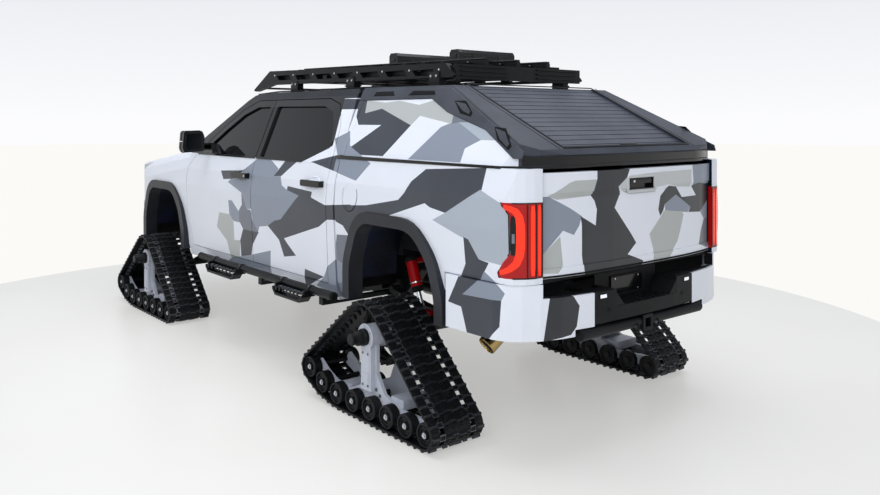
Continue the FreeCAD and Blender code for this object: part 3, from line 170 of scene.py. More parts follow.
# Shapes on the truck's side, (x, z) in metres, painted one over the other.
SIDE_SHAPES = [
    ("slate", [(0.33, 1.41), (0.07, 1.54), (-0.12, 1.54), (-0.29, 1.47), (-0.25, 1.41), (-0.35, 1.42),
               (-0.38, 1.35), (-0.46, 1.32), (-0.64, 1.29), (-0.35, 1.07), (-0.16, 1.02), (-0.01, 1.00),
               (0.02, 0.95), (0.09, 0.94), (0.12, 1.13), (0.20, 1.12), (0.28, 1.25), (0.54, 1.32),
               (0.47, 1.36)]),
    ("charcoal", [(-0.37, 1.54), (-0.55, 1.54), (-0.42, 1.46), (-0.36, 1.42), (-0.24, 1.41)]),
    ("charcoal", [(0.69, 1.41), (0.29, 1.43), (0.36, 1.37), (0.48, 1.35), (0.63, 1.34)]),
    ("slate", [(0.53, 1.17), (0.46, 1.17), (0.33, 1.08), (0.32, 1.00), (0.45, 1.00), (0.52, 1.04)]),
    ("grey", [(0.72, 1.05), (0.51, 1.05), (0.45, 0.99), (0.45, 0.84), (0.34, 0.85), (0.36, 0.69),
              (0.52, 0.67), (0.59, 0.82), (0.78, 0.92)]),
    ("dusk", [(0.28, 1.25), (0.20, 1.12), (0.13, 1.12), (0.11, 1.04), (0.01, 0.95), (0.28, 0.95),
              (0.34, 1.01), (0.34, 1.10), (0.28, 1.15)]),
    ("charcoal", [(0.28, 0.95), (0.01, 0.95), (0.12, 0.84), (0.15, 0.75), (0.33, 0.71), (0.34, 0.85)]),
    ("charcoal", [(-0.47, 1.35), (-0.82, 1.33), (-0.81, 1.29), (-1.00, 1.25), (-1.32, 1.28), (-1.31, 1.17),
                  (-1.02, 1.15), (-0.91, 1.09), (-0.40, 0.95), (-0.44, 0.92), (-0.57, 0.84), (-0.39, 0.81),
                  (-0.32, 0.93), (-0.15, 1.02), (-0.26, 1.07), (-0.36, 1.09), (-0.64, 1.29), (-0.46, 1.32)]),
    ("slate", [(0.62, 0.64), (0.50, 0.69), (0.17, 0.75), (-0.18, 0.83), (-0.16, 0.64), (0.39, 0.60)]),
    ("charcoal", [(-0.74, 1.54), (-1.05, 1.60), (-1.06, 1.49)]),
    ("charcoal", [(-0.69, 0.76), (-0.95, 0.74), (-0.85, 0.70), (-0.67, 0.62)]),
    ("dusk", [(-1.14, 1.06), (-1.29, 1.07), (-1.30, 0.97), (-1.22, 0.86), (-1.12, 0.89), (-1.12, 0.98)]),
    ("slate", [(-1.12, 0.89), (-1.22, 0.86), (-1.25, 0.60), (-0.83, 0.66), (-0.95, 0.74), (-1.00, 0.82)]),
    ("charcoal", [(-2.07, 1.55), (-2.59, 1.58), (-2.58, 1.46), (-2.29, 1.31), (-2.15, 1.33), (-2.10, 1.35),
                  (-1.73, 1.24), (-1.31, 1.05), (-1.22, 1.13), (-1.13, 1.15), (-1.13, 1.26), (-1.50, 1.29),
                  (-1.84, 1.35), (-1.90, 1.40), (-1.95, 1.47), (-2.01, 1.51)]),
    ("pale", [(-2.57, 1.46), (-2.74, 1.40), (-2.82, 1.32), (-2.82, 1.11), (-2.76, 1.07), (-2.57, 1.08),
              (-2.49, 1.18), (-2.42, 1.19), (-2.18, 1.26), (-2.29, 1.31)]),
    ("charcoal", [(-2.45, 1.19), (-2.49, 1.18), (-2.57, 1.08), (-2.65, 1.07), (-2.58, 0.97), (-2.45, 0.87),
                  (-2.33, 0.81), (-2.46, 1.04)]),
    ("slate", [(-2.61, 1.02), (-2.72, 0.96), (-2.76, 0.92), (-2.74, 0.88), (-2.45, 0.87), (-2.58, 0.97)]),
    ("charcoal", [(-2.45, 0.87), (-2.74, 0.88), (-2.73, 0.74), (-2.66, 0.66), (-2.49, 0.66), (-2.44, 0.80),
                  (-2.33, 0.81)]),
    ("slate", [(-0.94, 1.71), (-1.12, 1.77), (-1.18, 1.67), (-1.35, 1.61), (-1.49, 1.56), (-1.36, 1.44),
               (-1.06, 1.49), (-1.05, 1.60), (-1.02, 1.63)]),
    ("charcoal", [(-0.83, 2.00), (-1.12, 1.99), (-1.12, 1.92), (-0.88, 1.92)]),
    ("charcoal", [(-1.10, 1.98), (-1.19, 1.98), (-1.22, 1.89), (-1.40, 1.92), (-1.78, 1.81), (-1.60, 1.61),
                  (-1.35, 1.61), (-1.20, 1.66), (-1.46, 1.81), (-1.19, 1.81), (-1.13, 1.87)]),
    ("grey", [(-1.22, 1.89), (-1.19, 1.98), (-1.42, 1.96), (-1.57, 1.97), (-1.79, 1.94), (-1.99, 1.98),
              (-2.16, 1.87), (-2.17, 1.82), (-1.84, 1.87), (-1.78, 1.81), (-1.40, 1.92)]),
    ("slate", [(-1.87, 1.60), (-2.08, 1.80), (-2.14, 1.82), (-2.23, 1.83), (-2.47, 1.73), (-2.36, 1.68),
               (-2.36, 1.60)]),
    ("pale", [(-2.23, 1.83), (-2.43, 1.83), (-2.62, 1.73), (-2.47, 1.73)]),
    ("dusk", [(-1.99, 1.98), (-2.11, 1.98), (-2.43, 1.83), (-2.23, 1.83), (-2.17, 1.82), (-2.16, 1.87)]),
]

# The dark paint round the side windows, kicked up behind the rear one, and over the doors.
WINDOW_SURROUND = [
    ("black", [(1.60, 1.541), (1.60, 2.40), (-0.80, 2.40), (-0.89, 1.99), (-0.95, 1.66), (-0.61, 1.541)]),
    ("black", [(-1.113, 2.00), (1.60, 2.00), (1.60, 2.40), (-1.113, 2.40)]),
]

# Shapes on the tail, (y, z) in metres.
TAIL_SHAPES = [
    ("grey", [(0.76, 1.43), (0.61, 1.50), (0.57, 1.51), (0.40, 1.51), (0.44, 1.42), (0.69, 1.41)]),
    ("slate", [(0.81, 1.43), (0.75, 1.43), (0.60, 1.36), (0.51, 1.31), (0.53, 1.26), (0.57, 1.21),
               (0.65, 1.24), (0.77, 1.13), (0.81, 1.10)]),
    ("grey", [(0.77, 1.13), (0.67, 1.21), (0.65, 1.05), (0.69, 1.01), (0.81, 1.02), (0.81, 1.10)]),
    ("graphite", [(0.40, 1.57), (0.40, 1.51), (0.44, 1.42), (0.41, 1.39), (0.39, 1.34), (0.40, 1.25),
                  (0.52, 1.31), (0.51, 1.26), (0.51, 1.09), (0.49, 0.97), (0.00, 0.97), (-0.02, 1.01),
                  (0.12, 1.06), (0.04, 1.12), (0.09, 1.18), (0.24, 1.34), (0.19, 1.42), (0.22, 1.46),
                  (0.14, 1.51), (0.11, 1.57)]),
    ("mist", [(0.22, 1.46), (0.12, 1.52), (-0.19, 1.53), (-0.54, 1.53), (-0.54, 1.42), (-0.38, 1.43),
              (-0.27, 1.45), (-0.15, 1.44), (-0.15, 1.41), (0.10, 1.41), (0.17, 1.43)]),
    ("graphite", [(-0.20, 1.38), (-0.28, 1.44), (-0.37, 1.43), (-0.44, 1.36), (-0.62, 1.36), (-0.56, 1.42),
                  (-0.57, 1.43), (-0.65, 1.44), (-0.83, 1.42), (-0.83, 1.34), (-0.72, 1.27), (-0.67, 1.25),
                  (-0.52, 1.26), (-0.55, 1.29), (-0.37, 1.38), (-0.25, 1.33), (-0.23, 1.29), (-0.20, 1.26),
                  (-0.18, 1.30)]),
    ("slate", [(-0.25, 1.33), (-0.37, 1.38), (-0.55, 1.29), (-0.51, 1.26), (-0.25, 1.29)]),
    ("grey", [(-0.24, 1.29), (-0.44, 1.27), (-0.46, 1.25), (-0.42, 1.15), (-0.39, 1.09), (-0.26, 0.97),
              (-0.12, 0.97), (-0.13, 1.06), (-0.09, 1.16), (-0.21, 1.26)]),
    ("slate", [(-0.55, 1.57), (-0.83, 1.57), (-0.83, 1.42), (-0.65, 1.44), (-0.57, 1.43)]),
    ("slate", [(-0.68, 1.25), (-0.83, 1.34), (-0.83, 1.20), (-0.74, 1.20)]),
    ("dusk", [(-0.74, 1.20), (-0.83, 1.20), (-0.83, 1.02), (-0.77, 1.01), (-0.66, 1.04), (-0.69, 1.13)]),
]

# The painted ends of the rear bumper, (y, z) in metres.
BUMPER_SHAPES = [
    ("graphite", [(0.77, 0.91), (0.64, 0.91), (0.58, 0.83), (0.60, 0.72), (0.64, 0.68), (0.81, 0.66)]),
    ("graphite", [(-0.92, 0.78), (-1.02, 0.83), (-1.02, 0.66), (-0.88, 0.66)]),
]

# Shapes on the hood, (x, y) in metres.
HOOD_SHAPES = [
    ("slate", [(2.74, 0.60), (2.35, 0.86), (2.05, 0.62), (2.22, 0.18), (2.60, 0.12)]),
    ("charcoal", [(2.22, 0.18), (1.92, 0.30), (1.66, 0.02), (1.80, -0.34), (2.20, -0.18)]),
    ("grey", [(2.05, 0.62), (1.62, 0.88), (1.42, 0.52), (1.66, 0.02), (1.92, 0.30)]),
    ("charcoal", [(2.74, -0.20), (2.52, -0.08), (2.20, -0.18), (2.30, -0.58), (2.66, -0.72)]),
    ("slate", [(1.80, -0.34), (1.66, 0.02), (1.40, -0.10), (1.40, -0.62), (1.70, -0.76)]),
    ("grey", [(2.30, -0.58), (2.20, -0.18), (1.80, -0.34), (1.70, -0.76), (2.05, -0.88)]),
]


def bends(corners):
    """The turns along a closed outline, positive where it turns left."""
    following = corners[1:] + corners[:1]
    beyond = corners[2:] + corners[:2]
    return [(b[0] - a[0]) * (c[1] - b[1]) - (b[1] - a[1]) * (c[0] - b[0])
            for a, b, c in zip(corners, following, beyond)]


def union_of(one, two):
    """Two counter-clockwise outlines joined across an edge that they share, or nothing."""
    for i, a in enumerate(one):
        b = one[(i + 1) % len(one)]
        if a in two and two[two.index(a) - 1] == b:
            j = two.index(a)
            return one[i + 1:] + one[:i + 1] + (two[j + 1:] + two[:j])[:-1]
    return None


def convex_parts(corners):
    """Splits an outline into convex ones: triangles, joined again wherever the union stays convex."""
    parts = []
    for triangle in tessellate_polygon([[Vector((x, y, 0.0)) for x, y in corners]]):
        part = [corners[i] for i in triangle]
        parts.append(part if bends(part)[0] > 0 else part[::-1])
    while True:
        pairs = ((one, two, union_of(one, two)) for one in parts for two in parts if two is not one)
        good = next((pair for pair in pairs if pair[2] and min(bends(pair[2])) > -1e-9), None)
        if not good:
            return parts
        one, two, whole = good
        parts = [p for p in parts if p is not one and p is not two] + [whole]


def splinter(mat, place, shapes, across, up, colour):
    """Paints flat shapes over a colour; across and up name the two coordinates they are drawn in."""
    split = add(mat, "SeparateXYZ", {0: place})
    flat = add(mat, "CombineXYZ", {0: split.outputs[across], 1: split.outputs[up], 2: 1.0}).outputs[0]
    for shade, outline in shapes:
        whole = None
        for corners in convex_parts(outline):
            inside = None
            for a, b in zip(corners, corners[1:] + corners[:1]):
                nx, ny = a[1] - b[1], b[0] - a[0]
                line = (nx, ny, -(nx * a[0] + ny * a[1]))
                reach = add(mat, "VectorMath", {0: flat, 1: line}, operation="DOT_PRODUCT").outputs["Value"]
                if inside is not None:
                    reach = add(mat, "Math", {0: inside, 1: reach}, operation="MINIMUM").outputs[0]
                inside = reach
            if whole is not None:
                inside = add(mat, "Math", {0: whole, 1: inside}, operation="MAXIMUM").outputs[0]
            whole = inside
        mask = add(mat, "Math", {0: whole, 1: -1e-5}, operation="GREATER_THAN").outputs[0]
        colour = add(mat, "Mix", {0: mask, 6: colour, 7: linear(WRAP[shade])}, data_type="RGBA").outputs[2]
    return colour


def satin_wrap(name, *prints):
    """Printed vinyl wrap over paint: satin, with a soft clear reflection, faint dust and a pressed grain.

    A print is its shapes and the two coordinates that they are drawn in.
    """
    mat, shader, place = surface(name, WRAP["white"], Roughness=0.34, Specular_IOR_Level=0.3,
                                 Coat_Weight=0.15, Coat_Roughness=0.1)
    colour = linear(WRAP["white"])
    for shapes, across, up in prints:
        colour = splinter(mat, place, shapes, across, up, colour)
    cloud = add(mat, "TexNoise", {"Vector": place, "Scale": 1 / 0.35, "Detail": 4.0}).outputs[0]
    dust = add(mat, "MapRange", {0: cloud, 1: 0.35, 2: 0.75, 3: 0.0, 4: 0.05}).outputs[0]
    dusty = add(mat, "Mix", {0: dust, 6: colour, 7: linear("#8A8D92")}, data_type="RGBA").outputs[2]
    # The grain is pressed at about 1 mm and drawn at 6 mm so that it shows.
    grain = add(mat, "TexNoise", {"Vector": place, "Scale": 1 / 0.006, "Detail": 1.0}).outputs[0]
    bump = add(mat, "Bump", {"Height": grain, "Distance": 0.00004}).outputs[0]
    feed(mat, shader, Base_Color=dusty, Normal=bump)
    return mat


# ---------------------------------------------------------------- other materials
def tinted_window():
    """Toughened glass with a dark tint: nearly black and smooth, with a soft reflection."""
    mat, shader, place = surface("toughened_glass_dark_tint", "#0D0E11", Roughness=0.03, IOR=1.38,
                                 Transmission_Weight=0.35)
    film = add(mat, "TexNoise", {"Vector": place, "Scale": 1 / 0.4}).outputs[0]
    haze = add(mat, "MapRange", {0: film, 1: 0.3, 2: 0.7, 3: 0.02, 4: 0.07}).outputs[0]
    feed(mat, shader, Roughness=haze)
    return mat


def track_rubber():
    """Carbon black rubber, moulded: nearly black, with a dull sheen and faint grey scuffs."""
    mat, shader, place = surface("moulded_track_rubber", "#0E0F11", Roughness=0.5, Specular_IOR_Level=0.2)
    scuff = add(mat, "TexNoise", {"Vector": place, "Scale": 1 / 0.03, "Detail": 4.0}).outputs[0]
    worn = add(mat, "MapRange", {0: scuff, 1: 0.5, 2: 0.75, 3: 0.0, 4: 0.4}).outputs[0]
    shade = add(mat, "Mix", {0: worn, 6: linear("#0B0C0F"), 7: linear("#2A2B2F")},
                data_type="RGBA").outputs[2]
    fine = add(mat, "TexNoise", {"Vector": place, "Scale": 1 / 0.004, "Detail": 2.0}).outputs[0]
    dull = add(mat, "MapRange", {0: fine, 1: 0.3, 2: 0.7, 3: 0.36, 4: 0.6}).outputs[0]
    bump = add(mat, "Bump", {"Height": fine, "Distance": 0.0004}).outputs[0]
    feed(mat, shader, Base_Color=shade, Roughness=dull, Normal=bump)
    return mat


def acrylic(name, deep, bright, glow):
    """Coloured acrylic over lit facets: clear gloss, with slanting ribs drawn 11 mm apart to show."""
    mat, shader, place = surface(name, deep, Roughness=0.12, IOR=1.49, Specular_IOR_Level=0.25,
                                 Coat_Weight=0.2, Coat_Roughness=0.03, Emission_Strength=glow)
    ribs = add(mat, "TexWave", {"Vector": place, "Scale": 1 / 0.03}, bands_direction="DIAGONAL").outputs[1]
    shade = add(mat, "Mix", {0: ribs, 6: linear(deep), 7: linear(bright)}, data_type="RGBA").outputs[2]
    bump = add(mat, "Bump", {"Height": ribs, "Distance": 0.0008}).outputs[0]
    feed(mat, shader, Base_Color=shade, Emission_Color=shade, Normal=bump)
    return mat


def drawn_metal(name, colour, roughness, line):
    """Bare or plated metal with fine drawn lines of a width in metres."""
    mat, shader, place = surface(name, colour, Roughness=roughness, Metallic=1.0)
    lines = add(mat, "TexNoise", {"Vector": place, "Scale": 1 / line, "Detail": 3.0}).outputs[0]
    smoothest = max(roughness - 0.06, 0.01)
    dull = add(mat, "MapRange", {0: lines, 1: 0.3, 2: 0.7, 3: smoothest, 4: roughness + 0.1}).outputs[0]
    bump = add(mat, "Bump", {"Height": lines, "Distance": 0.0001}).outputs[0]
    feed(mat, shader, Roughness=dull, Normal=bump)
    return mat


def woven_cloth(name, dark, light):
    """Woven polyester seat cloth: soft, with a criss-cross of threads drawn 3 mm wide so that they show."""
    mat, shader, place = surface(name, dark, Roughness=0.9, Sheen_Weight=0.3)
    warp = add(mat, "TexWave", {"Vector": place, "Scale": 1 / 0.019, "Distortion": 0.6}, bands_direction="Y")
    weft = add(mat, "TexWave", {"Vector": place, "Scale": 1 / 0.019, "Distortion": 0.6},
               bands_direction="DIAGONAL")
    weave = add(mat, "Math", {0: warp.outputs[1], 1: weft.outputs[1]}, operation="MULTIPLY").outputs[0]
    shade = add(mat, "Mix", {0: weave, 6: linear(dark), 7: linear(light)}, data_type="RGBA").outputs[2]
    bump = add(mat, "Bump", {"Height": weave, "Distance": 0.0008}).outputs[0]
    feed(mat, shader, Base_Color=shade, Normal=bump)
    return mat


MATERIALS = {
    # Printed satin vinyl over the painted shells: white, with flat grey splinters that share its soft sheen.
    "camo_side": satin_wrap("printed_satin_vinyl_side", (SIDE_SHAPES + WINDOW_SURROUND, "X", "Z")),
    "camo_tail": satin_wrap("printed_satin_vinyl_tail", (TAIL_SHAPES, "Y", "Z")),
    "camo_bumper": satin_wrap("printed_satin_vinyl_bumper", (SIDE_SHAPES, "X", "Z"),
                              (BUMPER_SHAPES, "Y", "Z")),
    "camo_hood": satin_wrap("printed_satin_vinyl_hood", (HOOD_SHAPES, "X", "Y")),
    "white_wrap": satin_wrap("plain_satin_vinyl_white"),
    # Electrocoated steel: smooth satin black with a slight dust.
    "frame_black": moulded("electrocoated_frame_steel", "#0F1012", "#1A1B1E", 0.45, 0.004, 0.0001,
                           Specular_IOR_Level=0.15),
    # Sand-cast iron and aluminium: rough, mid grey.
    "cast_metal": moulded("sand_cast_engine_metal", "#6E6F70", "#8A8B8A", 0.62, 0.003, 0.0005, Metallic=0.7),
    # Needled carpet and textured trim: soft and dark.
    "cabin_trim": moulded("needled_cabin_carpet", "#131416", "#1F2023", 0.9, 0.003, 0.0008),
    # Painted steel roof in satin dark grey.
    "roof_black": moulded("satin_dark_roof_paint", "#15171C", "#1C1F25", 0.33, 0.008, 0.00005,
                          Coat_Weight=0.1),
    # Toughened glass, tinted in the melt: nearly black, with a soft smooth reflection.
    "tinted_glass": tinted_window(),
    # Soft-touch injection-moulded dashboard skin with a leather-like grain.
    "cabin_plastic": moulded("grained_dashboard_plastic", "#151618", "#1E1F22", 0.65, 0.0025, 0.0004),
    # Woven polyester: soft and dark, with a criss-cross of lighter threads.
    "seat_cloth": woven_cloth("woven_seat_cloth", "#1B1C1F", "#35363B"),
    # Grained seat vinyl: dark and a little smoother than the cloth.
    "seat_bolster": moulded("grained_seat_vinyl", "#141517", "#1D1E21", 0.5, 0.0025, 0.0003),
    # Injection-moulded polypropylene, textured: near black with a dull sheen.
    "trim_black": moulded("textured_polypropylene", "#0E0F11", "#191A1D", 0.5, 0.002, 0.00025,
                          Specular_IOR_Level=0.15),
    # Gloss black ABS: deep, with a sharp reflection.
    "gloss_black": moulded("gloss_black_abs", "#08090A", "#0E0F11", 0.12, 0.006, 0.00003, Coat_Weight=0.2),
    # Sprayed polyurea bed liner: coarse orange peel.
    "bed_liner": moulded("sprayed_polyurea_liner", "#141517", "#202123", 0.75, 0.005, 0.0012),
    # Flares in satin dark grey plastic, smoother than the rest of the trim.
    "flare_black": moulded("satin_flare_plastic", "#1F2125", "#2A2C34", 0.42, 0.003, 0.0001,
                           Specular_IOR_Level=0.3),
    # Fibrous arch liner, near black, with a blue cast that is a painted sheen.
    "liner_black": moulded("moulded_arch_liner_painted_blue_sheen", "#070A14", "#101A33", 0.5, 0.006, 0.0005),
    # Deep red acrylic over the lamp's bowl.
    "lamp_red": acrylic("deep_red_lamp_lens", "#86060A", "#BC100E", 0.16),
    # Acrylic light guides, lit from behind: bright red with an even glow.
    "lamp_lit": acrylic("lit_red_light_guide", "#D81A08", "#FA3C1C", 0.6),
    # Polycarbonate lamp cover over a silvered bowl: smoky and glossy.
    "lamp_clear": moulded("polycarbonate_lamp_cover", "#5E636A", "#7D838B", 0.08, 0.02, 0.0002,
                          Coat_Weight=1.0),
    # Frosted acrylic: milky white with a soft glow.
    "lamp_white": acrylic("frosted_white_lamp_lens", "#C9CCD0", "#F4F6F8", 0.5),
    # Acrylic with an amber tint: warm and only half lit.
    "lamp_warm": acrylic("amber_turn_lamp_lens", "#A8865A", "#F0E2C0", 0.25),
    # Extruded aluminium with a fine textured coat.
    "cap_black": moulded("textured_cap_aluminium_coat", "#2F333C", "#3D414B", 0.38, 0.0022, 0.0002,
                         Specular_IOR_Level=0.35),
    # Anodised aluminium slats: dark grey with a silky sheen.
    "cover_black": moulded("anodised_cover_slats", "#3D414B", "#494D58", 0.4, 0.003, 0.0001,
                           Specular_IOR_Level=0.4),
    # Powder coat with a fine sand texture.
    "rack_black": moulded("sand_texture_powder_coat", "#0E0F11", "#17181B", 0.42, 0.0025, 0.0003,
                          Specular_IOR_Level=0.18),
    # Moulded gloss ABS: black with a broad, soft-edged reflection.
    "carrier_black": moulded("gloss_carrier_abs", "#0B0C0E", "#131417", 0.22, 0.004, 0.00005,
                             Coat_Weight=0.15),
    # Powder-coated step steel: satin black that breaks up the light a little.
    "step_black": moulded("powder_coated_step_steel", "#0E0F12", "#181A1D", 0.4, 0.0025, 0.0003,
                          Specular_IOR_Level=0.2),
    # Painted axle steel: dull black with greyer patches.
    "suspension_steel": moulded("painted_axle_steel", "#111214", "#232426", 0.5, 0.004, 0.0003, Metallic=0.3),
    # Red powder coat on the dampers' tubes: even and bright.
    "shock_red": moulded("red_powder_coated_damper", "#9C060B", "#B40C12", 0.35, 0.005, 0.00005,
                         Specular_IOR_Level=0.1),
    # Steel pipe dipped in aluminium: warm grey and half bright.
    "exhaust_steel": drawn_metal("aluminised_exhaust_steel", "#8C8880", 0.38, 0.004),
    # Polished steel tinted by heat: straw gold, with a clear reflection.
    "tip_steel": drawn_metal("heat_tinted_tip_steel", "#A89060", 0.2, 0.004),
    # Soot on the pipe's inner wall: black, with no reflection.
    "soot": moulded("sooted_pipe_wall", "#060606", "#0D0C0B", 0.9, 0.004, 0.0004),
    # Mirror shells of satin ABS: black and smooth.
    "mirror_black": moulded("satin_mirror_abs", "#0E0F12", "#181A1D", 0.3, 0.006, 0.00004, Coat_Weight=0.3),
    # Silvered mirror glass with a dark tint: sharp and dim.
    "mirror_glass": drawn_metal("tinted_mirror_glass", "#2A2D31", 0.04, 0.2),
    # Carbon black rubber: nearly black, dull, with a fine moulded grain.
    "track_rubber": track_rubber(),
    # The lugs in a lighter grey than the band: painted highlight along their ridges, and some rubbing by the
    # snow and the floor.
    "worn_and_highlit_rubber": moulded("worn_lug_rubber_painted_highlight", "#1B1C20", "#33353A", 0.42, 0.004, 0.0004,
                           Specular_IOR_Level=0.45),
    # White powder coat on welded steel, greyed below white as painted shade.
    "track_white": moulded("white_powder_coat_painted_shade", "#BCC0CB", "#CBCFD9", 0.36, 0.004, 0.0001,
                           Coat_Weight=0.2),
    # Rollers faced with rubber: dull black, polished a little by the belt.
    "wheel_black": moulded("rubber_faced_rollers", "#0E0F11", "#1C1D20", 0.45, 0.003, 0.0002,
                           Specular_IOR_Level=0.2),
    # Zinc-plated pressed steel: bright, a little uneven.
    "bright_steel": drawn_metal("zinc_plated_steel", "#C9CBD0", 0.28, 0.004),
    # Hardened drive clips: worn dull, with light on their edges.
    "clip_steel": drawn_metal("worn_clip_steel", "#6B6E73", 0.46, 0.004),
    # Expanded rubber weather strip: matt black. Also used as painted shade in the cap's slots and pad
    # borders, and as painted shadow in the tailgate's gaps.
    "seal_rubber": moulded("expanded_rubber_seal", "#08090A", "#101113", 0.8, 0.002, 0.0001),
}

# Nodes that wear another finish than the one named for their slot.
NODE_FINISH = {"hood": "camo_hood", "tailgate": "camo_tail", "rear_bumper": "camo_bumper",
               "front_fenders": "white_wrap", "tail_lamps": "lamp_red"}
# Pressed and moulded parts whose edges are rolled, with the radius of the roll in metres.
ROLLED_EDGES = {"hood": 0.010, "tailgate": 0.008, "rear_bumper": 0.010, "bumper_step": 0.005,
                "front_bumper": 0.008, "front_fenders": 0.006, "bed_sides": 0.006, "cap_frame": 0.010,
                "cap_sides": 0.004, "fender_flares": 0.008, "roof_rack": 0.003, "ski_carriers": 0.006,
                "side_steps": 0.004, "cab_roof": 0.010, "cab_sides": 0.004, "mirror_left": 0.010,
                "mirror_right": 0.010, "door_front_left": 0.004, "door_front_right": 0.004,
                "door_rear_left": 0.004, "door_rear_right": 0.004, "dashboard": 0.012, "bed_tub": 0.005}

# Painted shells whose inner faces wear another finish, with the way that those faces point.
LINED = {"hood": ("frame_black", (0, 0, -1)), "tailgate": ("bed_liner", (1, 0, 0)),
         "door_front_left": ("cabin_plastic", (0, -1, 0)), "door_rear_left": ("cabin_plastic", (0, -1, 0)),
         "door_front_right": ("cabin_plastic", (0, 1, 0)), "door_rear_right": ("cabin_plastic", (0, 1, 0))}
# Shells with a left and a right half, whose inner faces point to the middle.
LINED_HALVES = {"cab_sides": "cabin_plastic", "bed_sides": "liner_black", "cap_sides": "cabin_trim",
                "front_fenders": "frame_black", "rear_bumper": "frame_black"}


def line_inside(obj, name):
    """Puts the inner finish on the faces of a painted shell that look inward."""
    if name in LINED:
        finish, way = LINED[name]
    elif name in LINED_HALVES:
        finish, way = LINED_HALVES[name], None
    else:
        return
    obj.data.materials.append(MATERIALS[finish])
    for face in obj.data.polygons:
        inward = Vector(way) if way else Vector((0, -1 if face.center.y > 0 else 1, 0))
        face.material_index = int(face.normal.dot(inward) > 0.7)


def dress_nodes():
    """Gives every CAD node the finish its record slot names, and rolled edges where it has them."""
    for part in frame["record"]["subparts"]:
        slot = part["material_slot"]
        finish = NODE_FINISH.get(part["node"], "camo_side" if slot == "camo_paint" else slot)
        obj = nodes[part["node"]]
        obj.data.materials.clear()
        obj.data.materials.append(MATERIALS[finish])
        line_inside(obj, part["node"])
        obj.data.shade_smooth()
        obj.data.set_sharp_from_angle(angle=math.radians(36))
        if part["node"] in ROLLED_EDGES:
            round_edges(obj, "rolled_edge", ROLLED_EDGES[part["node"]])
        level = obj.modifiers.new("level_faces", "WEIGHTED_NORMAL")
        level.keep_sharp = True


# ---------------------------------------------------------------- mesh helpers
def turns(count, start=0.0):
    """Even turns round a full circle in radians; start moves the first one by a share of a step."""
    return [2 * math.pi * (k + start) / count for k in range(count)]


def head(radius, height):
    """Profile of a bolt's head, a little narrower at its top."""
    return [(0, 0), (0, radius), (height, radius - 0.001), (height, 0)]


def slab(mesh, corners, depth, finish=0):
    """A flat plate: its corners in order, carried by a depth vector."""
    low = [mesh.verts.new(c) for c in corners]
    high = [mesh.verts.new(Vector(c) + Vector(depth)) for c in corners]
    faces = [mesh.faces.new(low), mesh.faces.new(high[::-1])]
    for i in range(len(low)):
        j = (i + 1) % len(low)
        faces.append(mesh.faces.new((low[j], low[i], high[i], high[j])))
    for face in faces:
        face.material_index = finish


def block(mesh, x, y, z, finish=0):
    """A block between pairs of x, y and z."""
    base = [(x[0], y[0], z[0]), (x[1], y[0], z[0]), (x[1], y[1], z[0]), (x[0], y[1], z[0])]
    slab(mesh, base, (0, 0, z[1] - z[0]), finish)


def join_rings(mesh, rings, finish, closed):
    """Skins rings of points one after another; the first and last get a cap unless they meet.

    A ring on the axis is one point repeated, and its faces come out as triangles.
    """
    pairs = list(zip(rings, rings[1:])) + ([(rings[-1], rings[0])] if closed else [])
    for one, two in pairs:
        for k in range(len(one)):
            j = (k + 1) % len(one)
            corners = dict.fromkeys((one[k], one[j], two[j], two[k]))
            mesh.faces.new(list(corners)).material_index = finish
    if not closed:
        for ring in (rings[0], rings[-1]):
            if len(set(ring)) > 1:
                mesh.faces.new(ring).material_index = finish


def turned(mesh, centre, axis, profile, finish=0, steps=28, ring=False):
    """A lathed form: profile points are (distance along the axis, radius); a ring's profile is closed."""
    turn = Vector(axis).to_track_quat("Z", "Y").to_matrix()
    loops = []
    for along, radius in profile:
        if radius < 1e-6:
            loops.append([mesh.verts.new(Vector(centre) + turn @ Vector((0, 0, along)))] * steps)
            continue
        spots = [turn @ Vector((radius * math.cos(a), radius * math.sin(a), along)) for a in turns(steps)]
        loops.append([mesh.verts.new(Vector(centre) + spot) for spot in spots])
    join_rings(mesh, loops, finish, ring)


def bar(mesh, path, radius, finish=0, sides=10, loop=False):
    """A round bar along a path of points."""
    spots = [Vector(p) for p in path]
    count = len(spots)
    rings = []
    for i, spot in enumerate(spots):
        before = spots[i - 1] if i or loop else spot
        after = spots[(i + 1) % count] if i < count - 1 or loop else spot
        turn = (after - before).to_track_quat("Z", "Y").to_matrix()
        rings.append([mesh.verts.new(spot + turn @ Vector((radius * math.cos(a), radius * math.sin(a), 0)))
                      for a in turns(sides)])
    join_rings(mesh, rings, finish, loop)


def piece(name, mesh, node, slot, *finishes, bevel=0.0, side=1):
    """An object from a mesh, on a node's body; side -1 mirrors it to the right. The slot argument is not
    used.
    """
    if side < 0:
        bmesh.ops.scale(mesh, vec=(1, -1, 1), verts=mesh.verts)
    bmesh.ops.recalc_face_normals(mesh, faces=mesh.faces)
    obj = placed_mesh(name, mesh)
    obj.data.shade_smooth()
    obj.data.set_sharp_from_angle(angle=math.radians(34))
    for finish in finishes:
        obj.data.materials.append(MATERIALS[finish])
    if bevel:
        round_edges(obj, "rounded_edge", bevel)
    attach(obj, body_of(nodes[node])[0])
    return obj


SIDES = (("left", 1), ("right", -1))


# ---------------------------------------------------------------- track units
# Each end of the truck with its axle's x.
ENDS = (("front", 1.950), ("rear", -1.750))
HUB_Z = 0.517
SPROCKET_R = 0.198
ROLLER_R = 0.070
ROLLER_IN_Y = 0.880           # inner faces of the two rows of rollers
ROLLER_OUT_Y = 1.136
GROUND_Z = 0.096              # height of the rollers' centres
TRACK_IN_Y = 0.826
TRACK_OUT_Y = 1.210
BAND_T = 0.012                # thickness of the rubber band between its lugs
LUG_H = 0.0138
LUG_COUNT = 54
WHEEL_PLACES = [(0.620, 0.194), (0.470, GROUND_Z + 0.03)] + [(0.300 - i * 0.180, GROUND_Z) for i in range(6)]
# Strips across the band: rubber at the edges and middle, drive windows between them.
STRIPS_Y = [TRACK_IN_Y, 0.887, 0.923, 1.113, 1.149, TRACK_OUT_Y]


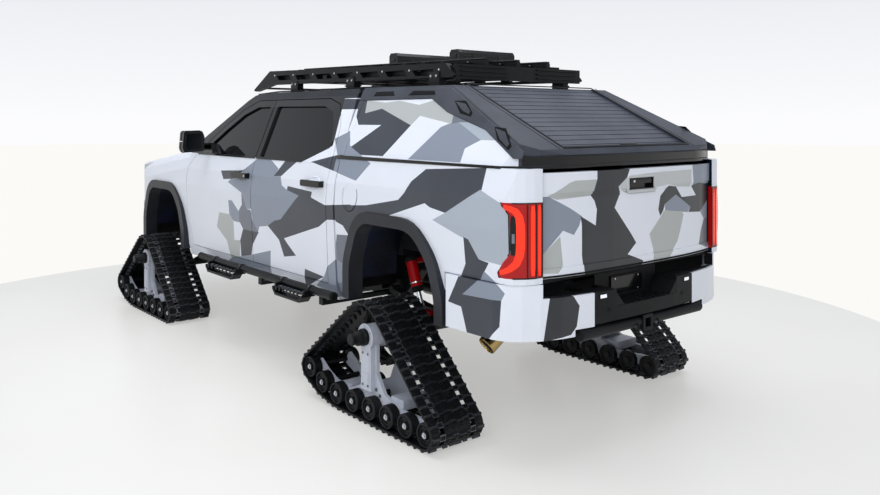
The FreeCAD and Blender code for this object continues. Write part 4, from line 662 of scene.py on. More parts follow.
def belt_line():
    """The inner line of the band (x, z): the tight loop round sprocket and wheels."""
    spots = []
    for x, z, r in [(0.0, HUB_Z, SPROCKET_R)] + [(x, z, ROLLER_R) for x, z in WHEEL_PLACES]:
        angles = [math.radians(k * 6) for k in range(60)]
        spots.extend(Vector((x + r * math.cos(a), z + r * math.sin(a))) for a in angles)
    line = [spots[k] for k in convex_hull_2d(spots)]
    area = sum(a.x * b.y - b.x * a.y for a, b in zip(line, line[1:] + line[:1]))
    return line if area > 0 else line[::-1]


class BeltWalk:
    """Finds places along the belt line by their distance, lifted off it by a height."""

    def __init__(self, axle_x):
        self.axle_x = axle_x
        self.line = belt_line()
        self.legs = [(b - a).length for a, b in zip(self.line, self.line[1:] + self.line[:1])]
        self.length = sum(self.legs)
        self.pitch = self.length / LUG_COUNT

    def spot(self, along):
        along %= self.length
        for i, leg in enumerate(self.legs):
            if along <= leg:
                return self.line[i].lerp(self.line[(i + 1) % len(self.line)], along / leg)
            along -= leg
        return self.line[0]

    def at(self, along, y, lift):
        way = (self.spot(along + 0.012) - self.spot(along - 0.012)).normalized()
        here = self.spot(along) + Vector((way.y, -way.x)) * lift
        return (self.axle_x + here.x, y, here.y)

    def lump(self, mesh, start, end, y, low, high, taper=0.0, finish=0):
        """A block on the belt between two distances, two y and two lifts, narrower at its far face."""
        y0, y1 = y
        foot = [self.at(s, w, low) for s, w in ((start, y0), (end, y0), (end, y1), (start, y1))]
        s0, s1 = start + taper, end - taper
        w0, w1 = y0 + taper, y1 - taper
        head = [self.at(s, w, high) for s, w in ((s0, w0), (s1, w0), (s1, w1), (s0, w1))]
        low_ring = [mesh.verts.new(p) for p in foot]
        high_ring = [mesh.verts.new(p) for p in head]
        faces = [mesh.faces.new(low_ring[::-1]), mesh.faces.new(high_ring)]
        for k in range(4):
            j = (k + 1) % 4
            faces.append(mesh.faces.new((low_ring[k], low_ring[j], high_ring[j], high_ring[k])))
        for face in faces:
            face.material_index = finish


def belt_band(mesh, walk):
    """The rubber band with two rows of drive windows, as one closed skin."""
    steps = LUG_COUNT * 4
    rows = []
    for i in range(steps):
        along = i * walk.pitch / 4
        rows.append([[mesh.verts.new(walk.at(along, y, lift)) for y in STRIPS_Y] for lift in (0.0, BAND_T)])

    def solid(i, j):
        return 0 <= j < len(STRIPS_Y) - 1 and (j % 2 == 0 or i % 4 < 2)

    for i in range(steps):
        here, ahead = rows[i], rows[(i + 1) % steps]
        for j in range(len(STRIPS_Y) - 1):
            if not solid(i, j):
                continue
            mesh.faces.new((here[0][j], here[0][j + 1], ahead[0][j + 1], ahead[0][j]))
            mesh.faces.new((here[1][j], ahead[1][j], ahead[1][j + 1], here[1][j + 1]))
            if not solid(i, j - 1):
                mesh.faces.new((here[0][j], ahead[0][j], ahead[1][j], here[1][j]))
            if not solid(i, j + 1):
                mesh.faces.new((here[0][j + 1], here[1][j + 1], ahead[1][j + 1], ahead[0][j + 1]))
            if not solid((i - 1) % steps, j):
                mesh.faces.new((here[0][j], here[1][j], here[1][j + 1], here[0][j + 1]))
            if not solid((i + 1) % steps, j):
                mesh.faces.new((ahead[0][j], ahead[0][j + 1], ahead[1][j + 1], ahead[1][j]))


# The belt's tread across y: long edge lugs, middle lugs with their shift along in pitches, low ribs between
# the rows, blocks on both rims, guide horns inside, and the middles of the bright drive clips.
EDGE_LUGS = ((TRACK_IN_Y + 0.001, 0.884), (1.152, TRACK_OUT_Y - 0.001))
MIDDLE_LUGS = (((0.927, 0.962), 0.00), ((0.966, 1.014), 0.10), ((1.018, 1.066), -0.02),
               ((1.070, 1.109), 0.08))
LOW_RIBS = ((0.836, 0.876), (0.935, 0.955), (0.975, 1.005), (1.030, 1.058), (1.082, 1.100), (1.160, 1.200))
RIM_BLOCKS = ((TRACK_IN_Y, TRACK_IN_Y + 0.012), (TRACK_OUT_Y - 0.012, TRACK_OUT_Y))
GUIDE_HORNS = ((0.932, 0.952), (1.084, 1.104))
CLIP_MIDDLES = (0.905, 1.131)


def make_belt(end, side, sign, axle_x):
    """A track belt: the band, its cross lugs in broken rows, guide horns and bright drive clips."""
    walk = BeltWalk(axle_x)
    p = walk.pitch
    mesh = bmesh.new()
    belt_band(mesh, walk)
    foot = BAND_T - 0.001
    top = BAND_T + LUG_H
    for i in range(LUG_COUNT):
        s = i * p
        lean = 0.07 * p if i % 2 else -0.04 * p
        # Finish 2 gives the lugs the lighter rubber: a painted highlight on the ridges, and some wear.
        for y in EDGE_LUGS:
            walk.lump(mesh, s + 0.10 * p + lean, s + 0.36 * p + lean, y, foot, top, 0.003, 2)
        for y, shift in MIDDLE_LUGS:
            walk.lump(mesh, s + (0.12 + shift) * p, s + (0.32 + shift) * p, y, foot, top, 0.0035, 2)
            nib = (y[0] + 0.008, y[0] + 0.018)
            walk.lump(mesh, s + (0.34 + shift) * p, s + (0.46 + shift) * p, nib, foot, top - 0.005, 0.002)
        for y in LOW_RIBS:
            walk.lump(mesh, s + 0.66 * p, s + 0.80 * p, y, foot, BAND_T + 0.0045, 0.002)
        for y in RIM_BLOCKS:
            walk.lump(mesh, s + 0.14 * p, s + 0.40 * p, y, 0.002, top - 0.002, 0.003)
        for y in GUIDE_HORNS:
            walk.lump(mesh, s + 0.10 * p, s + 0.40 * p, y, 0.001, -0.024, 0.005)
        for middle in CLIP_MIDDLES:
            for edge in (middle - 0.0205, middle + 0.0165):
                walk.lump(mesh, s, s + 0.50 * p, (edge, edge + 0.004), -0.002, BAND_T + 0.004, 0.0, 1)
            for start in (0.00, 0.42):
                wide = (middle - 0.0165, middle + 0.0165)
                walk.lump(mesh, s + start * p, s + (start + 0.08) * p, wide, -0.002, BAND_T + 0.003, 0.0, 1)
    name = "track_belt_%s_%s" % (end, side)
    belt = piece(name + "_rubber", mesh, name, "track_rubber", "track_rubber", "clip_steel", "worn_and_highlit_rubber",
                 side=sign)
    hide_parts(name)


# Outer face of a roller from its inner side: tread, shoulder, dish, raised ring and hub.
ROLLER_FACE = [(0.0, 0.030), (0.0, 0.064), (0.004, 0.0697), (0.058, 0.0697), (0.0635, 0.0655), (0.064, 0.058),
               (0.058, 0.0555), (0.050, 0.053), (0.050, 0.046), (0.056, 0.0445), (0.056, 0.040),
               (0.049, 0.038), (0.047, 0.026), (0.059, 0.023), (0.061, 0.019), (0.061, 0.0)]
ROLLER_BOLT = [(0, 0), (0, 0.0165), (0.0025, 0.0165), (0.003, 0.0105), (0.0095, 0.0100), (0.011, 0.007),
               (0.011, 0)]
ROLLER_AXLE = [(0, 0), (0, 0.016), (0.256, 0.016), (0.256, 0)]
HUB_CAP = [(0, 0), (0, 0.052), (0.022, 0.052), (0.026, 0.048), (0.030, 0.0465), (0.058, 0.046),
           (0.064, 0.043), (0.066, 0.037), (0.068, 0.036), (0.104, 0.035), (0.109, 0.031), (0.109, 0)]
HUB_BOLT = [(0, 0), (0, 0.005), (0.004, 0.005), (0.005, 0.003), (0.005, 0)]
SPROCKET_RIM_R = SPROCKET_R - 0.016
SPROCKET_RIM = [(0, SPROCKET_RIM_R), (0.100, SPROCKET_RIM_R), (0.100, 0.160), (0.066, 0.160), (0.060, 0.152),
                (0.040, 0.152), (0.034, 0.160), (0, 0.160)]
SPROCKET_HUB = [(0.040, 0.074), (0.060, 0.074), (0.060, 0.092), (0.040, 0.092)]
# A tooth and a spoke as corners (radius, turn), for one that points along x.
TOOTH = ((SPROCKET_RIM_R - 0.003, -0.055), (SPROCKET_R - 0.002, -0.03), (SPROCKET_R - 0.002, 0.03),
         (SPROCKET_RIM_R - 0.003, 0.055))
SPOKE = ((0.088, -0.20), (0.156, -0.09), (0.156, 0.09), (0.088, 0.20))


def make_wheels(end, side, sign, axle_x):
    """Rollers with ring relief and bright bolts, the toothed sprocket on its spokes, and the hub's cap."""
    mesh = bmesh.new()
    out = (0, 1, 0)
    for x, z in WHEEL_PLACES:
        outer = (axle_x + x, ROLLER_OUT_Y, z)
        inner = (axle_x + x, ROLLER_IN_Y, z)
        turned(mesh, outer, out, ROLLER_FACE)
        turned(mesh, (axle_x + x, ROLLER_OUT_Y + 0.0605, z), out, ROLLER_BOLT, 1, 12)
        turned(mesh, inner, (0, -1, 0), [(a * 0.68, r) for a, r in ROLLER_FACE])
        turned(mesh, inner, out, ROLLER_AXLE, steps=12)
    hub = (axle_x, 0.960, HUB_Z)
    turned(mesh, hub, out, SPROCKET_RIM, steps=60, ring=True)
    turned(mesh, hub, out, SPROCKET_HUB, steps=40, ring=True)
    for count, corners, y, depth in ((20, TOOTH, 0.963, 0.094), (6, SPOKE, 1.003, 0.014)):
        for turn in turns(count):
            flat = [(axle_x + r * math.cos(turn + a), y, HUB_Z + r * math.sin(turn + a)) for r, a in corners]
            slab(mesh, flat, (0, depth, 0))
    turned(mesh, (axle_x, 1.180, HUB_Z), out, HUB_CAP, steps=40)
    for turn in turns(6, 0.5):
        spot = (axle_x + 0.0675 * math.cos(turn), 1.1795, HUB_Z + 0.0675 * math.sin(turn))
        turned(mesh, spot, out, HUB_BOLT, 1, 10)
    name = "track_wheels_%s_%s" % (end, side)
    wheels = piece(name + "_set", mesh, name, "wheel_black", "wheel_black", "bright_steel", side=sign)
    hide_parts(name)


POST_BOLT = [(0, 0), (0, 0.012), (0.002, 0.012), (0.002, 0.0085), (0.008, 0.0075), (0.008, 0)]
POST_COLLAR = [(0, 0.074), (0, 0.080), (0.006, 0.080), (0.009, 0.077), (0.009, 0.0735)]


def make_track_post(end, side, sign, axle_x):
    """Face plate, collar and bolts of a track frame's upright."""
    mesh = bmesh.new()
    out = (0, 1, 0)
    block(mesh, (axle_x - 0.038, axle_x + 0.038), (1.1715, 1.1755), (0.212, HUB_Z - 0.088), 0)
    block(mesh, (axle_x - 0.030, axle_x + 0.030), (1.1715, 1.1785), (0.240, 0.300), 0)
    for x, z in ((-0.027, 0.222), (0.027, 0.222), (-0.027, HUB_Z - 0.102), (0.027, HUB_Z - 0.102)):
        turned(mesh, (axle_x + x, 1.1750, z), out, head(0.0085, 0.004), 1, 12)
    for x, z in ((-0.100, 0.172), (0.084, 0.178), (-0.062, 0.200), (0.062, 0.200)):
        turned(mesh, (axle_x + x, 1.1355, z), out, POST_BOLT, 1, 12)
    turned(mesh, (axle_x, 1.1700, HUB_Z), out, POST_COLLAR, 0, 40, ring=True)
    name = "track_frame_%s_%s" % (end, side)
    # The white of the frame and its fittings is greyed as painted shade.
    piece(name + "_fittings", mesh, name, "track_white", "track_white", "clip_steel", bevel=0.0015, side=sign)


# ---------------------------------------------------------------- skins that thin pieces lie on
def strap(mesh, skin, path, width, proud=0.003, finish=0, closed=False):
    """A thin strip along a path on a skin; width is one number or one for each point."""
    widths = width if isinstance(width, list) else [width] * len(path)
    rings = []
    for i, (a, b) in enumerate(path):
        before = path[i - 1] if i or closed else path[i]
        after = path[(i + 1) % len(path)] if i < len(path) - 1 or closed else path[i]
        way = Vector((after[0] - before[0], after[1] - before[1])).normalized()
        half = widths[i] / 2
        one = (a - way.y * half, b + way.x * half)
        two = (a + way.y * half, b - way.x * half)
        rings.append([mesh.verts.new(skin(*spot)) for spot in
                      ((*one, -0.002), (*two, -0.002), (*two, proud), (*one, proud))])
    join_rings(mesh, rings, finish, closed)


def between(table, value):
    """The second of a pair of numbers, read off a rising table at a first one."""
    for (a0, b0), (a1, b1) in zip(table, table[1:]):
        if value <= a1:
            return b0 + (b1 - b0) * (value - a0) / (a1 - a0)
    return table[-1][1]


# Half width of the body's side by height, and of the cab above the window sill.
SIDE_Y = [(0.600, 0.945), (0.700, 0.972), (0.950, 0.984), (1.250, 1.000), (1.410, 0.988), (1.559, 0.9505)]
CAB_Y = [(0.600, 0.945), (0.700, 0.972), (0.950, 0.984), (1.250, 1.000), (1.400, 0.988), (1.535, 0.952),
         (2.010, 0.755)]
# The rear corner in plan: distance round it, then x, y.
CORNER = [(0.000, -2.700, 1.000), (0.051, -2.751, 0.997), (0.124, -2.815, 0.962), (0.184, -2.852, 0.915),
          (0.238, -2.872, 0.865), (0.292, -2.878, 0.811)]


def cab_skin(x, z, lift):
    """Side of the cab and doors."""
    return (x, between(CAB_Y, z) + lift, z)


def bed_skin(x, z, lift):
    """Side of the bed."""
    return (x, between(SIDE_Y, z) + lift, z)


def corner_skin(around, z, lift):
    """The bed's rounded rear corner, from the side to the tailgate."""
    i = max(k for k in range(len(CORNER) - 1) if CORNER[k][0] <= around + 1e-9)
    (s0, x0, y0), (s1, x1, y1) = CORNER[i:i + 2]
    t = (around - s0) / (s1 - s0)
    out = Vector((y1 - y0, x0 - x1)).normalized()
    x = x0 + (x1 - x0) * t + out.x * lift
    y = y0 + (y1 - y0) * t + out.y * lift
    limit = between(SIDE_Y, z) + lift
    return (x, min(y, limit), z)


CAP_FOOT_Y = 0.948
CAP_FOOT_Z = 1.583
CAP_LEAN = 0.45               # how far the cap's side leans in for each metre up
CAP_OUT = Vector((0, 0.912, 0.41))       # square to that side


def cap_skin(x, z, lift):
    """Side of the cap, which leans in as it rises."""
    return (x, CAP_FOOT_Y - CAP_LEAN * (z - CAP_FOOT_Z) + lift * CAP_OUT.y, z + lift * CAP_OUT.z)


def bowed_skin(bow, ahead=0.0):
    """A skin (y, z) across the tail, on a bow of pairs (y, x), moved ahead by a distance."""
    return lambda y, z, lift: (between(bow, abs(y)) + ahead - lift, y, z)


# Bows of the tail in plan, (y, x): the tailgate's, the bumper step's face and the rim of its deck.
GATE_BOW = [(0.0, -2.920), (0.250, -2.918), (0.480, -2.908), (0.670, -2.888), (0.805, -2.862)]
STEP_BOW = [(0.26, -2.962), (0.5, -2.948)]
DECK_BOW = [(0.300, -2.944), (0.480, -2.935), (0.690, -2.905), (0.790, -2.874)]


# ---------------------------------------------------------------- rear of the body
# A tail lamp's C-shaped guide with its widths, and its rubber edge, by distance round the corner and z.
TAIL_LAMP_HOOK = [(0.037, 1.031), (0.070, 1.040), (0.105, 1.058), (0.136, 1.085), (0.152, 1.125),
                  (0.157, 1.170), (0.158, 1.230), (0.157, 1.285), (0.150, 1.330), (0.133, 1.360),
                  (0.100, 1.375), (0.066, 1.384)]
TAIL_LAMP_HOOK_WIDTHS = [0.022, 0.028, 0.034, 0.040, 0.046, 0.048, 0.048, 0.046, 0.042, 0.036, 0.028, 0.020]
TAIL_LAMP_EDGE = [(0.040, 1.402), (0.124, 1.402), (0.184, 1.402), (0.238, 1.402), (0.289, 1.402),
                  (0.289, 1.200), (0.289, 1.006), (0.238, 1.005), (0.184, 1.005), (0.124, 1.004),
                  (0.024, 1.005), (0.019, 1.028), (0.098, 1.137), (0.094, 1.342), (0.053, 1.386)]


def make_tail_lamp(side, sign):
    """A tail lamp's lens pieces: lit guides in a C and two uprights, a gloss insert and a rubber edge."""
    mesh = bmesh.new()
    strap(mesh, corner_skin, TAIL_LAMP_HOOK, TAIL_LAMP_HOOK_WIDTHS, 0.0045, 0)
    for around, width in ((0.226, 0.024), (0.268, 0.020)):
        upright = [(around, z) for z in (1.018, 1.060, 1.120, 1.200, 1.300, 1.350, 1.390)]
        strap(mesh, corner_skin, upright, [width - 0.008] + [width] * 5 + [width - 0.008], 0.0045, 0)
    for around in (0.196, 0.248):
        strap(mesh, corner_skin, [(around, z) for z in (1.010, 1.100, 1.300, 1.396)], 0.007, 0.003, 1)
    insert = [(0.119, z) for z in (1.128, 1.160, 1.300, 1.336)]
    strap(mesh, corner_skin, insert, [0.024, 0.034, 0.034, 0.024], 0.0035, 1)
    strap(mesh, corner_skin, [(0.119, 1.192), (0.119, 1.242)], 0.014, 0.0055, 2)
    strap(mesh, corner_skin, TAIL_LAMP_EDGE, 0.007, 0.003, 1, closed=True)
    piece("tail_lamp_lens_" + side, mesh, "tail_lamps", "lamp_red", "lamp_lit", "gloss_black", "lamp_clear",
          side=sign)


def make_tailgate_handle():
    """The tailgate's handle pocket with its frame, paddle and lock."""
    mesh = bmesh.new()
    block(mesh, (-2.886, -2.8825), (-0.116, 0.116), (1.438, 1.502), 0)
    for z in ((1.4365, 1.441), (1.499, 1.5035)):
        block(mesh, (-2.917, -2.884), (-0.1175, 0.1175), z, 0)
    for y in ((-0.1178, -0.113), (0.113, 0.1178)):
        block(mesh, (-2.917, -2.884), y, (1.4365, 1.5035), 0)
    paddle = [(-2.9125, 1.468), (-2.9145, 1.486), (-2.908, 1.501), (-2.890, 1.5015), (-2.890, 1.472),
              (-2.900, 1.470)]
    slab(mesh, [(x, -0.101, z) for x, z in paddle], (0, 0.202, 0), 0)
    rim = [(-0.128, 1.425), (0.128, 1.425), (0.132, 1.432), (0.132, 1.508), (0.128, 1.515), (-0.128, 1.515),
           (-0.132, 1.508), (-0.132, 1.432)]
    strap(mesh, bowed_skin(GATE_BOW), rim, 0.016, 0.0035, 1, closed=True)
    turned(mesh, (-2.9135, 0.066, 1.484), (-1, 0, 0), head(0.009, 0.003), 2, 16)
    piece("tailgate_handle", mesh, "tailgate", "trim_black", "gloss_black", "camo_tail", "bright_steel",
          bevel=0.002)


def make_tailgate_gap_shadow_and_seal():
    """The rubber seal along the tailgate's foot and up its two sides, matt black: partly a real seal, partly
    painted shadow in the gaps under and beside the gate.
    """
    mesh = bmesh.new()
    foot = [(y, 0.996) for y in (-0.800, -0.670, -0.480, -0.250, 0.0, 0.250, 0.480, 0.670, 0.800)]
    strap(mesh, bowed_skin(GATE_BOW, 0.006), foot, 0.010, 0.004)
    for y in (-0.795, 0.795):
        strap(mesh, bowed_skin([(0.0, -2.852), (1.0, -2.852)]), [(y, 1.0), (y, 1.55)], 0.008, 0.006)
    piece("tailgate_gap_shadow_and_seal", mesh, "tailgate", "trim_black", "seal_rubber")


SENSOR = [(0, 0), (0, 0.013), (0.006, 0.012), (0.006, 0.009), (0.004, 0.008), (0.004, 0)]
PLATE_X = -2.8085             # rear face of the number plate


def make_bumper_step_fittings():
    """Treads, blank number plate, lamps and sensors of the rear bumper's step."""
    mesh = bmesh.new()
    for sign in (1, -1):
        for i in range(6):
            inset = 0.004 + i * 0.011
            line = [(x + inset, y * sign) for y, x in DECK_BOW if x + inset < -2.853]
            if len(line) > 1:
                strap(mesh, lambda x, y, lift: (x, y, 0.888 + lift), line, 0.006, 0.005, 0)
        for y0, y1, width, proud, finish in ((0.376, 0.426, 0.019, 0.004, 1),
                                             (0.368, 0.434, 0.030, 0.0025, 2)):
            strap(mesh, bowed_skin(STEP_BOW), [(sign * y0, 0.861), (sign * y1, 0.861)], width, proud, finish)
        turned(mesh, (-2.953, sign * 0.350, 0.780), (-1, 0, 0), SENSOR, 2, 20)
        for dy in (0.0, 0.052, 0.104, 0.156, 0.208):
            block(mesh, (-2.950, -2.822), (sign * (0.030 + dy), sign * (0.052 + dy)), (0.789, 0.7945), 0)
        gusset = [(-2.9595, sign * 0.291, 0.870), (-2.9595, sign * 0.291, 0.788),
                  (-2.9595, sign * 0.215, 0.788)]
        slab(mesh, gusset, (0.150, 0, 0), 2)
    block(mesh, (PLATE_X, PLATE_X + 0.005), (-0.154, 0.154), (0.804, 0.917), 3)
    rim = [(-0.150, 0.807), (0.150, 0.807), (0.150, 0.914), (-0.150, 0.914)]
    strap(mesh, lambda y, z, lift: (PLATE_X - lift, y, z), rim, 0.009, 0.003, 2, closed=True)
    for y in (-0.110, 0.110):
        for z in (0.822, 0.900):
            turned(mesh, (PLATE_X, y, z), (-1, 0, 0), [(0, 0), (0, 0.006), (0.003, 0.005), (0.004, 0)], 4, 10)
    piece("bumper_step_fittings", mesh, "bumper_step", "trim_black", "step_black", "lamp_white", "trim_black",
          "gloss_black", "bright_steel")


def make_bumper_shut_lines():
    """The lines where the bumper's painted ends meet its middle."""
    mesh = bmesh.new()
    for sign in (1, -1):
        strap(mesh, bowed_skin(DECK_BOW), [(sign * 0.780, 0.668), (sign * 0.780, 0.884)], 0.0045, 0.0012, 0)
    piece("bumper_shut_lines", mesh, "rear_bumper", "trim_black", "seal_rubber")


HITCH_CAP = [(0, 0), (0, 0.034), (0.010, 0.030), (0.013, 0)]
HITCH_PIN = [(0, 0), (0, 0.0075), (0.034, 0.0075), (0.036, 0.005), (0.036, 0)]


def make_hitch_fittings():
    """The receiver's square rim, chain loops on their tabs, the tube's end caps and the pin."""
    mesh = bmesh.new()
    ring = [(-0.047, 0.609), (0.047, 0.609), (0.047, 0.703), (-0.047, 0.703)]
    hole = [(-0.0265, 0.6295), (0.0265, 0.6295), (0.0265, 0.6825), (-0.0265, 0.6825)]
    for a in range(4):
        b = (a + 1) % 4
        corners = [ring[a], ring[b], hole[b], hole[a]]
        slab(mesh, [(-2.9645, y, z) for y, z in corners], (0.018, 0, 0), 0)
    for sign in (1, -1):
        loop = [(-2.948 + 0.020 * math.cos(t), sign * 0.098, 0.640 + 0.024 * math.sin(t)) for t in turns(18)]
        bar(mesh, loop, 0.0065, 0, 8, loop=True)
        block(mesh, (-2.945, -2.885), (sign * 0.060, sign * 0.124), (0.656, 0.664), 0)
        turned(mesh, (-2.925, sign * 0.5705, 0.664), (0, sign, 0), HITCH_CAP, 0)
    turned(mesh, (-2.850, 0.050, 0.656), (0, 1, 0), HITCH_PIN, 1, 16)
    piece("hitch_fittings", mesh, "tow_hitch", "frame_black", "frame_black", "bright_steel", bevel=0.002)


def upright_skin(plan):
    """A skin that stands on a plan line: its coordinates are the distance along the line and the height."""
    marks = [0.0]
    for a, b in zip(plan, plan[1:]):
        marks.append(marks[-1] + math.dist(a, b))

    def skin(along, z, lift):
        i = max(k for k in range(len(plan) - 1) if marks[k] <= along + 1e-9)
        a, b = plan[i], plan[i + 1]
        t = (along - marks[i]) / (marks[i + 1] - marks[i])
        out = Vector((b[1] - a[1], a[0] - b[0])).normalized()
        return (a[0] + (b[0] - a[0]) * t + out.x * lift, a[1] + (b[1] - a[1]) * t + out.y * lift, z)

    return skin, marks


# ---------------------------------------------------------------- cap and cover
CAP_FOOT = [(-1.030, 0.934), (-1.096, 0.944), (-1.150, 0.947), (-2.690, 0.947), (-2.790, 0.880),
            (-2.850, 0.800), (-2.885, 0.600), (-2.893, 0.0)]
FRAME_PLATE = [(-1.103, 1.981), (-1.898, 1.978), (-2.095, 1.893), (-2.479, 1.790), (-2.770, 1.636),
               (-2.836, 1.636), (-2.836, 1.674), (-2.062, 2.042), (-1.103, 2.052)]
CAP_SLOTS = [[(-1.254, 2.004), (-1.500, 2.003), (-1.470, 2.034), (-1.275, 2.035)],
             [(-1.650, 2.002), (-1.930, 2.000), (-1.905, 2.026), (-1.690, 2.031)]]
CAP_PADS = [[(-2.140, 1.955), (-2.240, 1.950), (-2.325, 1.885), (-2.320, 1.865), (-2.230, 1.885)],
            [(-2.560, 1.800), (-2.650, 1.788), (-2.730, 1.702), (-2.715, 1.682), (-2.615, 1.733)]]
COVER_SLOPE = [(-3.0, 1.6115), (-2.0, 2.0887)]


def shrunk(corners, by):
    """An outline with its corners drawn towards its middle by a distance."""
    middle = Vector((sum(c[0] for c in corners), sum(c[1] for c in corners))) / len(corners)
    moved = [Vector(c) + (middle - Vector(c)).normalized() * by for c in corners]
    return [(c.x, c.y) for c in moved]


def on_cap(mesh, corners, start, proud, finish):
    """A flat plate on the cap's leaning side, between two heights off it."""
    slab(mesh, [cap_skin(x, z, start) for x, z in corners], (proud - start) * CAP_OUT, finish)


def make_cap_side(side, sign):
    """The raised frame plate with its slots and pads, the front closing strip and the cap's foot seal. The
    slots and the pads' borders are flat black plates, painted shade for their recesses; the seal's dark run
    round the rear is partly a painted shadow line.
    """
    mesh = bmesh.new()
    on_cap(mesh, FRAME_PLATE, -0.002, 0.006, 0)
    # Flat black plates, proud of the frame: painted shade standing in for the slots' and pads' recesses.
    for slot in CAP_SLOTS:
        on_cap(mesh, slot, 0.004, 0.0075, 1)
        on_cap(mesh, shrunk(slot, 0.016), 0.004, 0.0095, 2)
    for pad in CAP_PADS:
        on_cap(mesh, shrunk(pad, -0.008), 0.004, 0.0075, 1)
        on_cap(mesh, shrunk(pad, 0.014), 0.004, 0.012, 0)
    piece("cap_frame_plate_" + side, mesh, "cap_frame", "cap_black", "cap_black", "seal_rubber",
          "seal_rubber", bevel=0.0025, side=sign)
    mesh = bmesh.new()
    on_cap(mesh, [(-1.0985, 1.602), (-1.150, 1.602), (-1.150, 1.979), (-1.0985, 1.979)], -0.004, 0.0018, 0)
    piece("cap_front_strip_" + side, mesh, "cap_sides", "camo_paint", "camo_side", side=sign)
    mesh = bmesh.new()
    # The seal runs on round the cap's rear to the middle, where its gloss black is partly a painted shadow
    # line between cap and tailgate.
    skin, marks = upright_skin(CAP_FOOT)
    marks = [marks[0], marks[1], marks[2], 0.600, 1.200] + marks[3:]
    widths = [0.012, 0.026, 0.026, 0.023, 0.018] + [0.016] * 5
    strap(mesh, skin, [(m, 1.587) for m in marks], widths[:len(marks)], 0.007)
    piece("cap_foot_shadow_and_seal_" + side, mesh, "cap_sides", "trim_black", "gloss_black", bevel=0.002, side=sign)


def make_cover_rails():
    """Guide rails, gloss seams and cross strips of the slatted cover."""
    mesh = bmesh.new()

    def slope(x, y, lift):
        return (x, y, between(COVER_SLOPE, x) + lift)

    for sign in (1, -1):
        strap(mesh, slope, [(-2.036, sign * 0.599), (-2.844, sign * 0.599)], 0.014, 0.004, 0)
        strap(mesh, slope, [(-2.040, sign * 0.640), (-2.850, sign * 0.640)], 0.006, 0.002, 1)
    # Its end strip, pull strap and front strip: x, half length, width, how proud, finish.
    for x, half, width, proud, finish in ((-2.838, 0.590, 0.016, 0.006, 0), (-2.824, 0.075, 0.010, 0.009, 1),
                                          (-2.038, 0.594, 0.010, 0.003, 0)):
        strap(mesh, slope, [(x, -half), (x, half)], width, proud, finish)
    piece("cover_rails", mesh, "cap_roller_cover", "cap_black", "frame_black", "gloss_black", bevel=0.0015)


def make_cap_end_lip():
    """The gloss lip round the cap's rear foot, with a thin line above it."""
    mesh = bmesh.new()
    left = [(-2.790, 0.878), (-2.850, 0.798), (-2.885, 0.598)]
    skin, marks = upright_skin(left + [(-2.893, 0.0)] + [(x, -y) for x, y in reversed(left)])
    strap(mesh, skin, [(m, 1.622) for m in marks], 0.046, 0.005, 0)
    strap(mesh, skin, [(m, 1.650) for m in marks], 0.004, 0.003, 1)
    piece("cap_end_lip", mesh, "cap_frame", "cap_black", "gloss_black", "trim_black", bevel=0.003)


# ---------------------------------------------------------------- doors and mirrors
SILL_Z = 1.540                # height of the moulding under the windows
# Each door: rear end of its handle, its moulding's two ends and the middle of its pillar cover.
DOOR_PLACES = {"front": (0.157, 1.240, 0.131, 0.158), "rear": (-0.968, 0.111, -0.605, 0.084)}


def make_door_handle(which, side, sign):
    """A door's grip on its two feet, the cup behind it and, in front, the lock."""
    node = "door_%s_%s" % (which, side)
    mesh = bmesh.new()
    x0 = DOOR_PLACES[which][0]
    x1 = x0 + 0.258
    middle = (x0 + x1) / 2
    grip = [(x0, 1.376), (x0 + 0.012, 1.3685), (x1 - 0.012, 1.3685), (x1, 1.376), (x1, 1.409),
            (x1 - 0.012, 1.4155), (x0 + 0.012, 1.4155), (x0, 1.409)]
    slab(mesh, [(x, 1.0145, z) for x, z in grip], (0, 0.0155, 0), 0)
    for foot in ((x0 + 0.001, x0 + 0.050), (x1 - 0.063, x1 - 0.001)):
        block(mesh, foot, (0.975, 1.016), (1.370, 1.414), 0)
    cup = [(middle - 0.004 + 0.078 * math.cos(t), 1.392 + 0.046 * math.sin(t)) for t in turns(28)]
    strap(mesh, cab_skin, cup, 0.009, 0.0045, 2, closed=True)
    if which == "front":
        turned(mesh, (x0 + 0.024, 1.029, 1.392), (0, 1, 0), head(0.010, 0.002), 3, 16)
    piece(node + "_handle", mesh, node, "trim_black", "gloss_black", "trim_black", "camo_side",
          "bright_steel", bevel=0.003, side=sign)


def make_door_mouldings(which, side, sign):
    """The moulding under a door's window, its gloss pillar cover and the rear sill's painted kick."""
    node = "door_%s_%s" % (which, side)
    mesh = bmesh.new()
    ahead, behind, pillar = DOOR_PLACES[which][1:]
    strap(mesh, cab_skin, [(ahead, SILL_Z), (behind, SILL_Z)], 0.016, 0.005, 0)
    strap(mesh, cab_skin, [(pillar, 1.552), (pillar, 1.700), (pillar, 1.950)], 0.050, 0.0025, 0)
    if which == "rear":
        kick = [(-0.610, 1.534), (-0.950, 1.534), (-0.952, 1.668), (-0.926, 1.650)]
        slab(mesh, [cab_skin(x, z, -0.004) for x, z in kick], (0, 0.0055, 0.0023), 1)
        strap(mesh, cab_skin, [(-0.605, 1.5405), (-0.918, 1.652), (-0.935, 1.700)], 0.016, 0.004, 0)
    piece(node + "_mouldings", mesh, node, "trim_black", "gloss_black", "camo_side", bevel=0.0015, side=sign)


MIRROR_FACE = [(1.052, 1.578), (1.180, 1.575), (1.196, 1.592), (1.198, 1.650), (1.190, 1.720), (1.176, 1.732),
               (1.060, 1.735), (1.045, 1.718), (1.042, 1.600)]
MIRROR_SEAM = [(1.022, 1.5685), (1.205, 1.5585), (1.2195, 1.600), (1.2065, 1.7465), (1.040, 1.7495),
               (1.0165, 1.700)]
MIRROR_SEAM_X = 1.003


